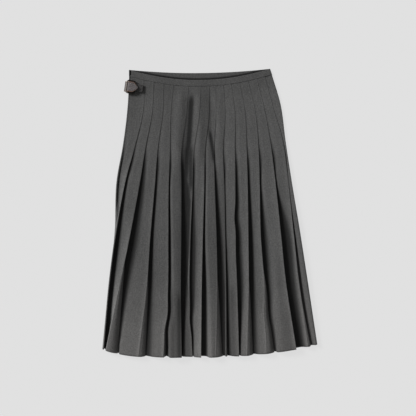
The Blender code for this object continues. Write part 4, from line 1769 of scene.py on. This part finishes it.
@dataclass
class Studio:
    """The pale floor, the soft light and the camera, straight over the skirt."""

    aim: Point = (-4.5, 13.5)
    aim_height: float = 0.015
    view_width: float = 1.04
    lens: float = 100
    sensor: float = 36
    floor_half: float = 4
    floor_below: float = 0.0003
    floor_tone: float = 0.07
    floor_glow: float = 0.686
    sky: float = 0.33
    key: float = 3.3
    key_from: tuple[float, float, float] = (-1.0, 0.66, 0.86)
    key_spread_deg: float = 18

    def build(self) -> None:
        """Makes the floor, the lights and the camera."""
        scene = bpy.context.scene
        scene.view_settings.view_transform = "Standard"
        camera = bpy.data.objects.new("camera", bpy.data.cameras.new("camera"))
        camera.data.lens = self.lens
        camera.data.sensor_width = self.sensor
        distance = self.view_width * self.lens / self.sensor
        camera.location = (self.aim[0] * MM, self.aim[1] * MM, distance + self.aim_height)
        scene.collection.objects.link(camera)
        scene.camera = camera
        sun = bpy.data.objects.new("key", bpy.data.lights.new("key", "SUN"))
        sun.data.energy = self.key
        sun.data.angle = math.radians(self.key_spread_deg)
        sun.rotation_euler = Vector(self.key_from).to_track_quat("Z", "Y").to_euler()
        scene.collection.objects.link(sun)
        world = bpy.data.worlds.new("sky")
        world.use_nodes = True
        world.node_tree.nodes["Background"].inputs["Strength"].default_value = self.sky
        world.node_tree.nodes["Background"].inputs["Color"].default_value = (1, 1, 1, 1)
        scene.world = world
        self.build_floor()

    def build_floor(self) -> None:
        """Makes the floor that the skirt lies on."""
        sheet = bmesh.new()
        bmesh.ops.create_grid(sheet, x_segments=1, y_segments=1, size=self.floor_half)
        bmesh.ops.translate(sheet, vec=(0, 0, -self.floor_below), verts=sheet.verts)
        mesh = bpy.data.meshes.new("floor")
        sheet.to_mesh(mesh)
        sheet.free()
        graph = Graph("floor")
        tone = (self.floor_tone,) * 3
        sockets = {
            "Base Color": (*tone, 1),
            "Roughness": 0.95,
            "Specular IOR Level": 0.0,
            "Emission Color": (1, 1, 1, 1),
            "Emission Strength": self.floor_glow,
        }
        mesh.materials.append(graph.finish(sockets))
        floor = bpy.data.objects.new("floor", mesh)
        bpy.context.scene.collection.objects.link(floor)


def main() -> None:
    """Builds the skirt and its studio, and reports each piece."""
    logging.basicConfig(level=logging.INFO, format="%(message)s")
    Studio().build()
    outline = Outline()
    wool = WoolTwill().material("charcoal wool twill")
    leather = Leather().material("dark leather")
    # The chape is near-black as painted shadow, so that it reads as the shade under the strap's tip.
    painted_shadow_black = (0.026, 0.025, 0.025)
    painted_shadow_leather = Leather(face=painted_shadow_black, worn=(0.034, 0.032, 0.031), edge=painted_shadow_black)
    brass = AgedBrass().material("aged brass")
    front = FrontPanel(outline)
    back = BackPanel(outline)
    band = Waistband(outline, front)
    fastening = Fastening()
    front_piece = front.build(wool)
    back_piece = back.build(wool)
    band_piece = band.build(wool)
    strap_piece = fastening.build_strap(outline, leather)
    buckle_piece = fastening.build_buckle(outline, brass)
    chape_piece = fastening.build_chape(outline, painted_shadow_leather.material("chape leather dark as painted shadow"))
    for piece in (front_piece, back_piece, band_piece, strap_piece, buckle_piece, chape_piece):
        log.info("%s: %d points before its modifiers", piece.name, len(piece.data.vertices))


if __name__ == "__main__":
    main()
